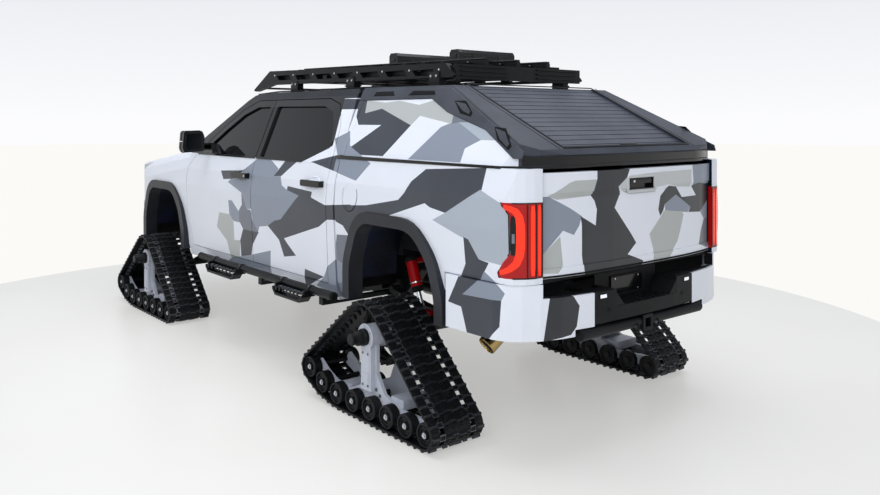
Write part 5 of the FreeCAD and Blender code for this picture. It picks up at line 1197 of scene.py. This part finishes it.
def make_mirror_fittings(side, sign):
    """A door mirror's glass in its bezel, the white repeater strip, the seam of its cap and its foot."""
    mesh = bmesh.new()
    slab(mesh, [(0.9555, y, z) for y, z in MIRROR_FACE], (-0.0035, 0, 0), 0)
    slab(mesh, [(0.953, y, z) for y, z in shrunk(MIRROR_FACE, 0.009)], (-0.0015, 0, 0), 1)
    for (ya, za), (yb, zb) in zip(MIRROR_SEAM, MIRROR_SEAM[1:]):
        bar(mesh, [(MIRROR_SEAM_X, ya, za), (MIRROR_SEAM_X, yb, zb)], 0.0028, 0, 8)
    block(mesh, (0.972, 1.036), (1.170, 1.2175), (1.6535, 1.6595), 2)
    block(mesh, (0.985, 1.030), (0.940, 1.045), (1.578, 1.640), 0)
    piece("mirror_%s_fittings" % side, mesh, "mirror_" + side, "mirror_black", "mirror_black", "mirror_glass",
          "lamp_white", bevel=0.003, side=sign)


# ---------------------------------------------------------------- body sides and roof
FUEL_DOOR_X = -1.303
FUEL_DOOR_Z = 1.335


def make_fuel_door():
    """The rounded fuel door's shut line and its pressed ring, on the left bed side."""
    mesh = bmesh.new()
    for half_x, half_z, width, proud, finish in ((0.088, 0.102, 0.005, 0.0006, 0),
                                                 (0.079, 0.093, 0.010, 0.003, 1)):
        oval = [(FUEL_DOOR_X + half_x * math.cos(t), FUEL_DOOR_Z + half_z * math.sin(t)) for t in turns(44)]
        strap(mesh, bed_skin, oval, width, proud, finish, closed=True)
    piece("fuel_door", mesh, "bed_sides", "camo_paint", "seal_rubber", "camo_side")


def make_roof_seams():
    """Rubber seams along the roof's two long edges."""
    mesh = bmesh.new()
    for y in (0.700, -0.700):
        line = [(0.55, y, 2.066), (0.20, y, 2.080), (-0.50, y, 2.080), (-1.08, y, 2.072)]
        bar(mesh, line, 0.0045, 0, 6)
    piece("roof_seams", mesh, "cab_roof", "roof_black", "seal_rubber")


# ---------------------------------------------------------------- roof rack
RAIL_TOP = [(-1.855, 2.211), (0.500, 2.266)]
RAIL_OUT_Y = 0.6215           # outer face of the rails
RACK_RISE = 0.01667           # how far the rack rises for each metre ahead
SOCKET_HEAD = [(0, 0), (0, 0.009), (0.005, 0.008), (0.005, 0.004), (0.003, 0.004), (0.003, 0)]


def make_rack_fittings():
    """Backing plates, slotted strips, clamps and bolts of the roof rack."""
    mesh = bmesh.new()
    for sign in (1, -1):
        backing = [(-1.840, 2.150), (0.430, 2.176), (0.440, 2.248), (-1.840, 2.196)]
        slab(mesh, [(x, sign * 0.574, z) for x, z in backing], (0, -sign * 0.003, 0), 0)
        for x, z in ((0.070, 2.104), (-0.760, 2.104), (-1.745, 2.098)):
            block(mesh, (x - 0.062, x + 0.062), (sign * 0.566, sign * 0.634), (z - 0.010, z), 0)
            block(mesh, (x - 0.040, x + 0.040), (sign * RAIL_OUT_Y, sign * 0.629), (z + 0.004, z + 0.060), 1)
            for dx in (-0.028, 0.028):
                turned(mesh, (x + dx, sign * 0.629, z + 0.034), (0, sign, 0), SOCKET_HEAD, 2, 10)
        for i in range(8):
            x = 0.407 - i * 0.314
            spot = (x, sign * RAIL_OUT_Y, between(RAIL_TOP, x) - 0.040)
            turned(mesh, spot, (0, sign, 0), head(0.008, 0.004), 2, 10)
        for y in (0.0, 0.300):
            if y or sign > 0:
                for dy in (-0.012, 0.012):
                    line = [(x, sign * y + dy, 2.2785 + RACK_RISE * x + 0.006)
                            for x in (0.436, -0.700, -1.896)]
                    bar(mesh, line, 0.007, 0, 6)
        for z in (2.128, 2.158, 2.188):
            block(mesh, (-1.953, -1.934), (sign * 0.140, sign * 0.560), (z, z + 0.006), 1)
    for i in range(11):
        x = 0.300 - i * 0.205
        z = 2.262 + RACK_RISE * x
        block(mesh, (x - 0.022, x + 0.022), (-0.560, 0.560), (z - 0.012, z), 0)
        for y in (-0.300, 0.0, 0.300):
            for dy in (-0.034, 0.034):
                turned(mesh, (x, y + dy, z), (0, 0, 1), head(0.008, 0.004), 2, 8)
    piece("rack_fittings", mesh, "roof_rack", "rack_black", "rack_black", "step_black", "bright_steel")


def make_ski_carrier_ends():
    """End caps, latches, hinge pins and clamp feet of the two ski carriers."""
    mesh = bmesh.new()
    for x, z0, z1 in ((-0.830, 2.250, 2.356), (-1.545, 2.240, 2.338)):
        for y, way in ((-0.262, -1), (0.272, 1)):
            cap = [(x - 0.053, z0 + 0.004), (x + 0.053, z0 + 0.004), (x + 0.053, z1 - 0.022),
                   (x + 0.036, z1 + 0.001), (x - 0.036, z1 + 0.001), (x - 0.053, z1 - 0.022)]
            slab(mesh, [(a, y - way * 0.034, b) for a, b in cap], (0, way * 0.038, 0), 0)
            latch_y = (y - 0.012 * way, y + 0.009 * way)
            block(mesh, (x - 0.020, x + 0.020), latch_y, (z0 + 0.040, z0 + 0.066), 1)
        for a in (x - 0.0515, x + 0.0515):
            bar(mesh, [(a, -0.225, z0 + 0.052), (a, 0.236, z0 + 0.052)], 0.0022, 1, 6)
        for y in (-0.120, 0.130):
            block(mesh, (x - 0.054, x - 0.048), (y - 0.020, y + 0.020), (z0 + 0.034, z0 + 0.070), 1)
            block(mesh, (x - 0.046, x + 0.046), (y - 0.014, y + 0.014), (z0 - 0.018, z0 + 0.001), 0)
    piece("ski_carrier_ends", mesh, "ski_carriers", "carrier_black", "carrier_black", "gloss_black",
          bevel=0.003)


# ---------------------------------------------------------------- steps, exhaust and dampers
STEP_BAR_Y = 1.030
STEP_BAR_Z = 0.645
TREAD_RING = [(0, 0.011), (0.0035, 0.012), (0.0035, 0.017), (0, 0.019)]
STEP_CLAMP = [(0, 0.0285), (0, 0.0335), (0.028, 0.0335), (0.028, 0.0285)]
STEP_BAR_END = [(0, 0), (0, 0.0305), (0.016, 0.0305), (0.024, 0.024), (0.025, 0)]


def make_step_fittings(side, sign):
    """Raised rings and teeth on the two drop steps' treads, clamps round the bar and its rubber ends."""
    mesh = bmesh.new()
    for x0, x1 in ((0.180, 0.708), (-0.891, -0.464)):
        block(mesh, (x0 + 0.024, x1 - 0.024), (1.046, 1.116), (0.6185, 0.6235), 0)
        for k in range(7):
            x = x0 + 0.060 + k * (x1 - x0 - 0.120) / 6
            turned(mesh, (x, 1.080, 0.6225), (0, 0, 1), TREAD_RING, 1, 16, ring=True)
            block(mesh, (x - 0.010, x + 0.010), (1.1165, 1.1215), (0.600, 0.6255), 0)
        for x in (x0 + 0.020, x1 - 0.020):
            turned(mesh, (x - 0.014, STEP_BAR_Y, STEP_BAR_Z), (1, 0, 0), STEP_CLAMP, 0, 24, ring=True)
            turned(mesh, (x, 1.050, 0.668), (0, 0.4, 0.9), head(0.010, 0.005), 1, 8)
    for x, way in ((1.000, 1), (-1.170, -1)):
        turned(mesh, (x - 0.016 * way, STEP_BAR_Y, STEP_BAR_Z), (way, 0, 0), STEP_BAR_END, 2, 24)
    piece("side_step_fittings_" + side, mesh, "side_steps", "step_black", "step_black", "clip_steel",
          "seal_rubber", side=sign)


# Profiles along the tail pipe from its mouth: the rolled tip, the sooted inside and the clamp.
PIPE_TIP = [(-0.120, 0.0470), (-0.118, 0.0535), (-0.004, 0.0575), (0.008, 0.0570), (0.011, 0.0540),
            (0.006, 0.0515), (-0.040, 0.0500), (-0.060, 0.0470)]
PIPE_SOOT = [(-0.075, 0), (-0.075, 0.0412), (-0.002, 0.0495), (-0.002, 0.0485), (-0.073, 0.0400), (-0.073, 0)]
PIPE_CLAMP = [(-0.135, 0.0465), (-0.135, 0.0505), (-0.118, 0.0505), (-0.118, 0.0465)]


def make_exhaust_tip():
    """The rolled, heat-tinted mouth of the tail pipe with soot inside it, and a clamp."""
    mesh = bmesh.new()
    mouth, way = (-2.438, 0.800, 0.548), (0.032, 0.200, -0.147)
    turned(mesh, mouth, way, PIPE_TIP, 0, 48, ring=True)
    turned(mesh, mouth, way, PIPE_SOOT, 1, 32)
    turned(mesh, mouth, way, PIPE_CLAMP, 2, 32, ring=True)
    piece("exhaust_tip", mesh, "exhaust", "exhaust_steel", "tip_steel", "soot", "bright_steel")


DAMPER_CAP = [(-0.006, 0), (-0.006, 0.036), (0.004, 0.041), (0.020, 0.041), (0.026, 0.0385), (0.026, 0)]
DAMPER_FOOT = [(-0.030, 0), (-0.030, 0.0385), (-0.024, 0.041), (0, 0.041), (0.006, 0.032), (0.010, 0)]
DAMPER_RING = [(-0.060, 0.0380), (-0.060, 0.0395), (-0.052, 0.0395), (-0.052, 0.0380)]
DAMPER_ROD = [(0.006, 0), (0.006, 0.0168), (0.118, 0.0168), (0.118, 0)]
SPRING_SEAT = [(-0.005, 0.048), (-0.005, 0.0605), (0.002, 0.0605), (0.002, 0.048)]
SPRING_R = 0.0535
SPRING_STEPS = 104            # points along the spring's wire, 16 for each coil


def make_shock_fittings():
    """End caps, bright rods and rubber rings of the rear dampers, and the springs of the front struts."""
    mesh = bmesh.new()
    for sign in (1, -1):
        top, foot = Vector((-1.460, 0.600 * sign, 0.900)), Vector((-1.545, 0.600 * sign, 0.690))
        way = foot - top
        turned(mesh, top, way, DAMPER_CAP, 2, 28)
        turned(mesh, foot, way, DAMPER_FOOT, 2, 28)
        turned(mesh, foot, way, DAMPER_RING, 1, 28, ring=True)
        turned(mesh, foot, (-0.055, 0, -0.130), DAMPER_ROD, 1, 20)
        low, high = Vector((1.950, 0.566 * sign, 0.615)), Vector((1.950, 0.530 * sign, 0.865))
        turn = (high - low).to_track_quat("Z", "Y").to_matrix()
        coil = []
        for k in range(SPRING_STEPS):
            a = 2 * math.pi * k / 16
            rise = 0.252 * k / (SPRING_STEPS - 1)
            coil.append(low + turn @ Vector((SPRING_R * math.cos(a), SPRING_R * math.sin(a), rise)))
        bar(mesh, coil, 0.0065, 0, 8)
        for spot in (low, high):
            turned(mesh, spot, high - low, SPRING_SEAT, 2, 28, ring=True)
    piece("shock_fittings", mesh, "shock_absorbers", "shock_red", "shock_red", "bright_steel", "seal_rubber")


# ---------------------------------------------------------------- nose
# The nose in plan (y, x), and the hood's crown (y, z).
NOSE = [(0.30, 2.926), (0.45, 2.925), (0.69, 2.900), (0.82, 2.840), (0.898, 2.740), (0.966, 2.560)]
HOOD_CROWN = [(0.0, 1.628), (0.300, 1.622), (0.600, 1.606), (0.850, 1.580)]


def nose_skin(y, z, lift):
    """A point on the curved nose, left half."""
    return between(NOSE, y) + lift, y, z


def hood_skin(x, y, lift):
    """A point on top of the hood."""
    fall = x - 1.406
    return x, y, min(between(HOOD_CROWN, abs(y)) - 0.134 * fall, 1.640 - 0.1546 * fall) + lift


def make_grille_fittings():
    """The grille's crossed mesh, frame, bars and blank badge, with the radiator and its fins behind."""
    mesh = bmesh.new()
    for k in range(-11, 12):
        for lean in (0.075, -0.075):
            y = k * 0.045
            if abs(y) + 0.075 < 0.52:
                bar(mesh, [(2.852, y - lean, 1.050), (2.852, y + lean, 1.342)], 0.0045, 0, 6)
    for z in (1.049, 1.335):
        block(mesh, (2.919, 2.927), (-0.505, 0.505), (z, z + 0.008), 1)
    for y in (-0.506, 0.498):
        block(mesh, (2.919, 2.927), (y, y + 0.008), (1.049, 1.343), 1)
    for i in range(4):
        z = 1.103 + 0.068 * i
        block(mesh, (2.902, 2.908), (-0.495, 0.495), (z - 0.004, z + 0.004), 1)
    badge = [(0.095, 1.200), (0.075, 1.234), (-0.075, 1.234), (-0.095, 1.200), (-0.075, 1.166),
             (0.075, 1.166)]
    slab(mesh, [(2.903, y, z) for y, z in badge], (0.012, 0, 0), 1)
    block(mesh, (2.800, 2.812), (-0.520, 0.520), (1.030, 1.360), 0)
    for k in range(24):
        z = 1.040 + 0.013 * k
        block(mesh, (2.812, 2.818), (-0.510, 0.510), (z, z + 0.005), 2)
    for y in (-0.520, 0.500):
        block(mesh, (2.800, 2.842), (y, y + 0.020), (1.030, 1.360), 0)
    piece("grille_fittings", mesh, "grille", "trim_black", "trim_black", "gloss_black", "suspension_steel")


LAMP_BEZEL = [(0, 0.036), (0.014, 0.036), (0.017, 0.039), (0.014, 0.043), (0, 0.043)]
LAMP_LENS = [(0, 0), (0, 0.030), (0.008, 0.027), (0.014, 0.016), (0.016, 0)]


def make_headlamp_fittings(side, sign):
    """A headlamp's light guides, amber corner and three round lenses in gloss bezels."""
    mesh = bmesh.new()
    for corner_z, z, width in ((1.322, 1.322, 0.016), (1.166, 1.156, 0.014)):
        guide = [(0.585, z), (0.700, z), (0.800, z), (0.860, corner_z)]
        strap(mesh, nose_skin, guide, width, 0.007, 0)
    strap(mesh, nose_skin, [(0.880, 1.178), (0.898, 1.220), (0.902, 1.300), (0.888, 1.330)], 0.018, 0.007, 1)
    strap(mesh, nose_skin, [(0.925, 1.350), (0.955, 1.388)], 0.020, 0.003, 0)
    for y in (0.630, 0.715, 0.795):
        x = between(NOSE, y)
        turned(mesh, (x - 0.010, y, 1.240), (1, 0.25, 0), LAMP_BEZEL, 2, 32, ring=True)
        turned(mesh, (x - 0.004, y, 1.240), (1, 0.25, 0), LAMP_LENS, 3, 28)
    piece("headlamp_fittings_" + side, mesh, "headlamps", "lamp_clear", "lamp_white", "lamp_warm",
          "gloss_black", "lamp_clear", side=sign)


def make_hood_creases():
    """The two raised creases that run forward over the hood."""
    mesh = bmesh.new()
    for sign in (1, -1):
        line = [(x, sign * y) for x, y in ((1.430, 0.520), (1.900, 0.490), (2.350, 0.450), (2.600, 0.410))]
        strap(mesh, hood_skin, line, [0.004, 0.018, 0.020, 0.006], 0.0035, 0)
    piece("hood_creases", mesh, "hood", "camo_paint", "camo_hood", bevel=0.0015)


FOG_BEZEL = [(0, 0.046), (0.012, 0.046), (0.015, 0.050), (0.012, 0.056), (0, 0.056)]
FOG_LENS = [(0, 0), (0, 0.046), (0.008, 0.043), (0.011, 0)]
TOW_HOOK = [(2.900, 0.335, 0.700), (2.940, 0.335, 0.704), (2.958, 0.350, 0.706), (2.962, 0.370, 0.706),
            (2.958, 0.390, 0.706), (2.940, 0.405, 0.704), (2.900, 0.405, 0.700)]


def make_front_bumper_fittings():
    """Lattice of the lower intake, fog lamps, tow hooks, splash plates and bolts of the front bumper."""
    mesh = bmesh.new()
    for k in range(-6, 7):
        block(mesh, (2.906, 2.914), (k * 0.064 - 0.006, k * 0.064 + 0.006), (0.758, 0.882), 0)
    for z in (0.795, 0.838):
        block(mesh, (2.904, 2.912), (-0.424, 0.424), (z - 0.005, z + 0.005), 0)
    for sign in (1, -1):
        lamp, way = (2.893, sign * 0.690, 0.830), (1, 0.25 * sign, 0)
        turned(mesh, lamp, way, FOG_BEZEL, 1, 32, ring=True)
        turned(mesh, lamp, way, FOG_LENS, 2, 32)
        bar(mesh, [(x, sign * y, z) for x, y, z in TOW_HOOK], 0.010, 3, 10)
        block(mesh, (2.572, 2.579), tuple(sorted((sign * 0.320, sign * 0.880))), (0.645, 0.800), 0)
        for x, z in ((2.690, 0.5665), (2.790, 0.597), (2.880, 0.6245)):
            turned(mesh, (x, sign * 0.300, z), (0.29, 0, -0.95), head(0.013, 0.006), 3, 8)
    piece("front_bumper_fittings", mesh, "front_bumper", "trim_black", "trim_black", "gloss_black",
          "lamp_clear", "suspension_steel")


# ---------------------------------------------------------------- cabin
WHEEL_HUB = Vector((0.900, 0.420, 1.330))
WHEEL_AXIS = Vector((-0.878, 0, 0.479))
WHEEL_DOWN = Vector((-0.479, 0, -0.878))
WHEEL_BOSS = [(0, 0), (0, 0.052), (0.026, 0.052), (0.036, 0.042), (0.038, 0)]
CUP_RING = [(0, 0.036), (0.006, 0.038), (0.006, 0.044), (0, 0.046)]
LEVER_KNOB = [(0, 0), (0, 0.018), (0.020, 0.024), (0.042, 0.020), (0.050, 0)]


def make_dashboard_fittings():
    """Steering wheel, instrument hood, screen, vents, glove box lid and the console's lever and holders."""
    mesh = bmesh.new()
    rim = [WHEEL_HUB + 0.180 * (math.cos(t) * Vector((0, 1, 0)) + math.sin(t) * WHEEL_DOWN)
           for t in turns(48)]
    bar(mesh, rim, 0.0172, 1, 12, loop=True)
    turned(mesh, WHEEL_HUB, WHEEL_AXIS, WHEEL_BOSS, 0, 32)
    spoke = [WHEEL_HUB + WHEEL_AXIS * 0.004 + WHEEL_DOWN * a + Vector((0, b, 0))
             for a, b in ((-0.014, -0.16), (0.014, -0.16), (0.018, 0.16), (-0.018, 0.16))]
    slab(mesh, spoke, WHEEL_AXIS * 0.016, 0)
    hood = [(1.030, 1.420), (1.016, 1.470), (1.050, 1.488), (1.175, 1.512), (1.175, 1.500), (1.058, 1.442)]
    slab(mesh, [(x, 0.270, z) for x, z in hood], (0, 0.300, 0), 0)
    screen = [(1.040, 0.160, 1.262), (1.040, -0.160, 1.262), (1.056, -0.160, 1.432), (1.056, 0.160, 1.432)]
    slab(mesh, screen, (-0.014, 0, 0.001), 2)
    for y in (-0.770, -0.250, 0.205, 0.690):
        block(mesh, (1.036, 1.052), (y, y + 0.085), (1.330, 1.408), 0)
        for z in (1.346, 1.364, 1.382):
            block(mesh, (1.032, 1.038), (y + 0.008, y + 0.077), (z, z + 0.006), 2)
    block(mesh, (1.034, 1.044), (-0.700, -0.300), (1.250, 1.322), 0)
    for x in (0.860, 0.760):
        turned(mesh, (x, 0.050, 1.008), (0, 0, 1), CUP_RING, 2, 28, ring=True)
    bar(mesh, [(0.900, -0.050, 1.005), (0.890, -0.050, 1.060), (0.870, -0.050, 1.120)], 0.010, 2, 12)
    turned(mesh, (0.868, -0.050, 1.110), (-0.3, 0, 1), LEVER_KNOB, 1, 20)
    block(mesh, (0.345, 0.660), (-0.098, 0.098), (1.006, 1.020), 1)
    piece("dashboard_fittings", mesh, "dashboard", "cabin_plastic", "cabin_plastic", "seat_bolster",
          "gloss_black", bevel=0.003)


# ---------------------------------------------------------------- seats
FLOOR_Z = 0.700
# Seats: x at the back of the cushion, y of the middle, the width, the welts' distances from the middle and
# the places of the head rests beside it.
SEAT_PLACES = {"seat_driver": (0.300, 0.420, 0.500, [0.0, 0.150], [0.0]),
               "seat_passenger": (0.300, -0.420, 0.500, [0.0, 0.150], [0.0]),
               "seat_bench": (-0.640, 0.000, 1.380, [0.060, 0.345, 0.600], [-0.420, 0.420])}
# Sections (x, z) from the back of the cushion and the floor.
CUSHION = [(-0.020, 0.196), (0.480, 0.196), (0.484, 0.270), (0.440, 0.318), (-0.020, 0.306)]
BACK_REST = [(-0.020, 0.320), (0.070, 0.340), (-0.060, 0.860), (-0.090, 0.884), (-0.170, 0.884),
             (-0.180, 0.840)]
HEAD_REST = [(-0.098, 0.955), (-0.156, 0.955), (-0.176, 1.060), (-0.165, 1.078), (-0.128, 1.078),
             (-0.116, 1.060)]
HEAD_POST = [(0, 0), (0, 0.007), (0.095, 0.007), (0.095, 0)]
HEAD_COLLAR = [(0, 0), (0, 0.015), (0.010, 0.013), (0.010, 0)]
COVER_MESH = 0.018            # size of the even mesh of the cover cloth
STUFFING_TRAVEL = 0.016       # how far the stuffing pushes the cloth out at most
STUFFING_FRAMES = 16


def stuffed_form(name, outline, middle, half, welts):
    """A closed form of cover cloth, even in mesh, with the points under its sewn welts in a group."""
    mesh = bmesh.new()
    slab(mesh, [(x, middle - half, z) for x, z in outline], (0, 2 * half, 0))
    bmesh.ops.recalc_face_normals(mesh, faces=mesh.faces)
    obj = placed_mesh(name, mesh)
    even = obj.modifiers.new("even_mesh", "REMESH")
    even.mode = "VOXEL"
    even.voxel_size = COVER_MESH
    depsgraph = bpy.context.evaluated_depsgraph_get()
    obj.data = bpy.data.meshes.new_from_object(obj.evaluated_get(depsgraph))
    obj.data.name = name
    obj.modifiers.clear()
    lowest = min(v.co.z for v in obj.data.vertices)
    held = obj.vertex_groups.new(name="held")
    points = [v.index for v in obj.data.vertices
              if v.co.z < lowest + 0.004 or min(abs(abs(v.co.y - middle) - w) for w in welts) < 0.010]
    held.add(points, 1.0, "REPLACE")
    for finish in ("seat_cloth", "seat_bolster"):
        obj.data.materials.append(MATERIALS[finish])
    for face in obj.data.polygons:
        face.material_index = int(abs(face.center.y - middle) > welts[-1])
    return obj


def inflate(forms):
    """Lets the stuffing push the cover cloth out between its welts, no point further than the travel."""
    scene = bpy.context.scene
    first = {}
    for obj in forms:
        first[obj.name] = [v.co.copy() for v in obj.data.vertices]
        cloth = obj.modifiers.new("stuffing", "CLOTH")
        cloth.settings.quality = 4
        cloth.settings.mass = 0.3
        cloth.settings.use_pressure = True
        cloth.settings.uniform_pressure_force = 4.0
        cloth.settings.vertex_group_mass = "held"
        cloth.settings.effector_weights.gravity = 0.0
        cloth.collision_settings.use_collision = False
        cloth.point_cache.frame_start = 1
        cloth.point_cache.frame_end = STUFFING_FRAMES
    for number in range(1, STUFFING_FRAMES + 1):
        scene.frame_set(number)
    depsgraph = bpy.context.evaluated_depsgraph_get()
    for obj in forms:
        settled = [v.co.copy() for v in obj.evaluated_get(depsgraph).data.vertices]
        obj.modifiers.clear()
        for point, start, end in zip(obj.data.vertices, first[obj.name], settled):
            step = end - start
            point.co = start + step * min(1.0, STUFFING_TRAVEL / max(step.length, 1e-6))
    scene.frame_set(1)


def make_seats():
    """Stuffed cushions, back rests and head rests with sewn welts, on their plinths and posts."""
    forms = []
    hard = bmesh.new()
    z = FLOOR_Z
    for name, (x, y, width, welts, heads) in SEAT_PLACES.items():
        half = width / 2
        for part, section, inset in (("cushion", CUSHION, 0.016), ("back", BACK_REST, 0.030)):
            outline = [(x + dx, z + dz) for dx, dz in section]
            forms.append(stuffed_form("%s_%s" % (name, part), outline, y, half - inset, welts))
        for k, aside in enumerate(heads):
            outline = [(x + dx, z + dz) for dx, dz in HEAD_REST]
            forms.append(stuffed_form("%s_head_%d" % (name, k + 1), outline, y + aside, 0.112, [0.085]))
            for dy in (aside - 0.050, aside + 0.050):
                turned(hard, (x - 0.126, y + dy, z + 0.870), (0, 0, 1), HEAD_POST, 1, 12)
                turned(hard, (x - 0.126, y + dy, z + 0.884), (0, 0, 1), HEAD_COLLAR, 0, 14)
        block(hard, (x + 0.060, x + 0.420), (y - half + 0.045, y + half - 0.045), (z + 0.030, z + 0.200), 0)
        for dy in (-half + 0.070, half - 0.070):
            block(hard, (x + 0.062, x + 0.418), (y + dy - 0.016, y + dy + 0.016), (z + 0.001, z + 0.032), 1)
        if len(heads) == 1:
            for dy in (-half + 0.016, half - 0.016):
                shield_y = (y + dy - 0.012, y + dy + 0.012)
                block(hard, (x - 0.010, x + 0.380), shield_y, (z + 0.200, z + 0.252), 0)
    inflate(forms)
    for obj in forms:
        smooth = obj.modifiers.new("soft_curve", "SUBSURF")
        smooth.levels = smooth.render_levels = 1
        obj.data.shade_smooth()
        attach(obj, body_of(nodes["seats"])[0])
        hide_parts("seats")
    frames = piece("seat_frames", hard, "seats", "seat_cloth", "trim_black", "bright_steel", bevel=0.003)
    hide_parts("seats")


# ---------------------------------------------------------------- stage
DISC_R = 4.70                 # the turntable, flush with the floor round it
FLOOR_R = 60.0
DISC_GLOW = 0.42              # share of the room's white that the disc shows under its shadow
WALL_LIGHT = 0.88             # strength at which the wall lights the truck, where it is seen at 1


def seen_share(mat):
    """1 for what is seen: straight on, mirrored or through glass; 0 for what only gives light."""
    ray = add(mat, "LightPath").outputs
    bounced = add(mat, "Math", {0: ray["Is Camera Ray"], 1: ray["Is Glossy Ray"]}, operation="MAXIMUM")
    return add(mat, "Math", {0: bounced.outputs[0], 1: ray["Is Transmission Ray"]},
               operation="MAXIMUM").outputs[0]


def floor_paint():
    """Satin floor paint, rolled on: pale with faint patches, and full white beyond the turntable."""
    mat, shader, place = surface("satin_floor_paint", "#F7F5EF", Roughness=0.32)
    cloud = add(mat, "TexNoise", {"Vector": place, "Scale": 1 / 1.4, "Detail": 3.0}).outputs[0]
    patches = add(mat, "MapRange", {0: cloud, 1: 0.3, 2: 0.7}).outputs[0]
    shade = add(mat, "Mix", {0: patches, 6: linear("#F4F1EA"), 7: linear("#F8F6F0")},
                data_type="RGBA").outputs[2]
    feed(mat, shader, Base_Color=shade)
    reach = add(mat, "VectorMath", {0: place}, operation="LENGTH").outputs["Value"]
    beyond = add(mat, "MapRange", {0: reach, 1: DISC_R, 2: DISC_R + 0.03}).outputs[0]
    share = add(mat, "MapRange", {0: beyond, 3: DISC_GLOW, 4: 1.0}).outputs[0]
    white = add(mat, "Math", {0: share, 1: seen_share(mat)}, operation="MULTIPLY").outputs[0]
    glow = add(mat, "Emission", {"Color": linear("#FBFAF7"), "Strength": 1.0}).outputs[0]
    both = add(mat, "MixShader", {0: white, 1: shader.outputs[0], 2: glow}).outputs[0]
    mat.node_tree.links.new(both, mat.node_tree.nodes["Material Output"].inputs[0])
    return mat


def make_wall():
    """The world as a white wall under a grey ceiling; it lights the truck a little less than it shows."""
    world = bpy.data.worlds.new("white_wall")
    bpy.context.scene.world = world
    world.use_nodes = True
    air = world.node_tree.nodes["Background"]
    strength = add(world, "MapRange", {0: seen_share(world), 3: WALL_LIGHT, 4: 1.0}).outputs[0]
    height = add(world, "SeparateXYZ", {0: add(world, "TexCoord").outputs["Generated"]}).outputs["Z"]
    rise = add(world, "MapRange", {0: height, 1: 0.0, 2: 0.16}).outputs[0]
    wall = add(world, "Mix", {0: rise, 6: linear("#FCFCFE"), 7: linear("#EAECF1")},
               data_type="RGBA").outputs[2]
    over = add(world, "MapRange", {0: height, 1: 0.18, 2: 0.60}).outputs[0]
    wall = add(world, "Mix", {0: over, 6: wall, 7: linear("#A9AFB8")}, data_type="RGBA").outputs[2]
    world.node_tree.links.new(wall, air.inputs[0])
    world.node_tree.links.new(strength, air.inputs[1])


def soft_box(name, place, aim, size, power):
    """A rectangular soft lamp at a place, turned to a point."""
    data = bpy.data.lights.new(name, "AREA")
    data.shape = "RECTANGLE"
    data.size, data.size_y = size
    data.energy = power
    data.color = (0.93, 0.96, 1.0)
    lamp = placed(name, data)
    lamp.location = place
    lamp.rotation_euler = (Vector(place) - Vector(aim)).to_track_quat("Z", "Y").to_euler()


def make_stage():
    """A pale painted turntable in a white floor that runs into a white wall, and two soft boxes."""
    mesh = bmesh.new()
    bmesh.ops.create_circle(mesh, cap_ends=True, segments=96, radius=FLOOR_R)
    floor = placed_mesh("turntable_floor", mesh)
    floor.data.materials.append(floor_paint())
    make_wall()
    soft_box("soft_box_over", (-0.5, 0.6, 5.5), (0.0, 0.0, 0.0), (7.0, 4.0), 250.0)
    soft_box("soft_box_left", (-5.0, 4.4, 3.4), (-2.0, 0.3, 1.0), (4.0, 2.0), 96.0)


make_camera()
dress_nodes()
for side, sign in SIDES:
    for end, axle_x in ENDS:
        make_belt(end, side, sign, axle_x)
        make_wheels(end, side, sign, axle_x)
for side, sign in SIDES:
    make_tail_lamp(side, sign)
make_tailgate_handle()
make_tailgate_gap_shadow_and_seal()
make_bumper_shut_lines()
make_bumper_step_fittings()
make_hitch_fittings()
for side, sign in SIDES:
    make_cap_side(side, sign)
    make_mirror_fittings(side, sign)
    for which in DOOR_PLACES:
        make_door_handle(which, side, sign)
        make_door_mouldings(which, side, sign)
make_cover_rails()
make_cap_end_lip()
make_fuel_door()
make_roof_seams()
make_rack_fittings()
make_ski_carrier_ends()
for side, sign in SIDES:
    make_step_fittings(side, sign)
    for end, axle_x in ENDS:
        make_track_post(end, side, sign, axle_x)
make_exhaust_tip()
make_shock_fittings()
make_grille_fittings()
for side, sign in SIDES:
    make_headlamp_fittings(side, sign)
make_hood_creases()
make_front_bumper_fittings()
make_dashboard_fittings()
make_seats()
make_stage()
bpy.context.scene.view_settings.view_transform = "Standard"
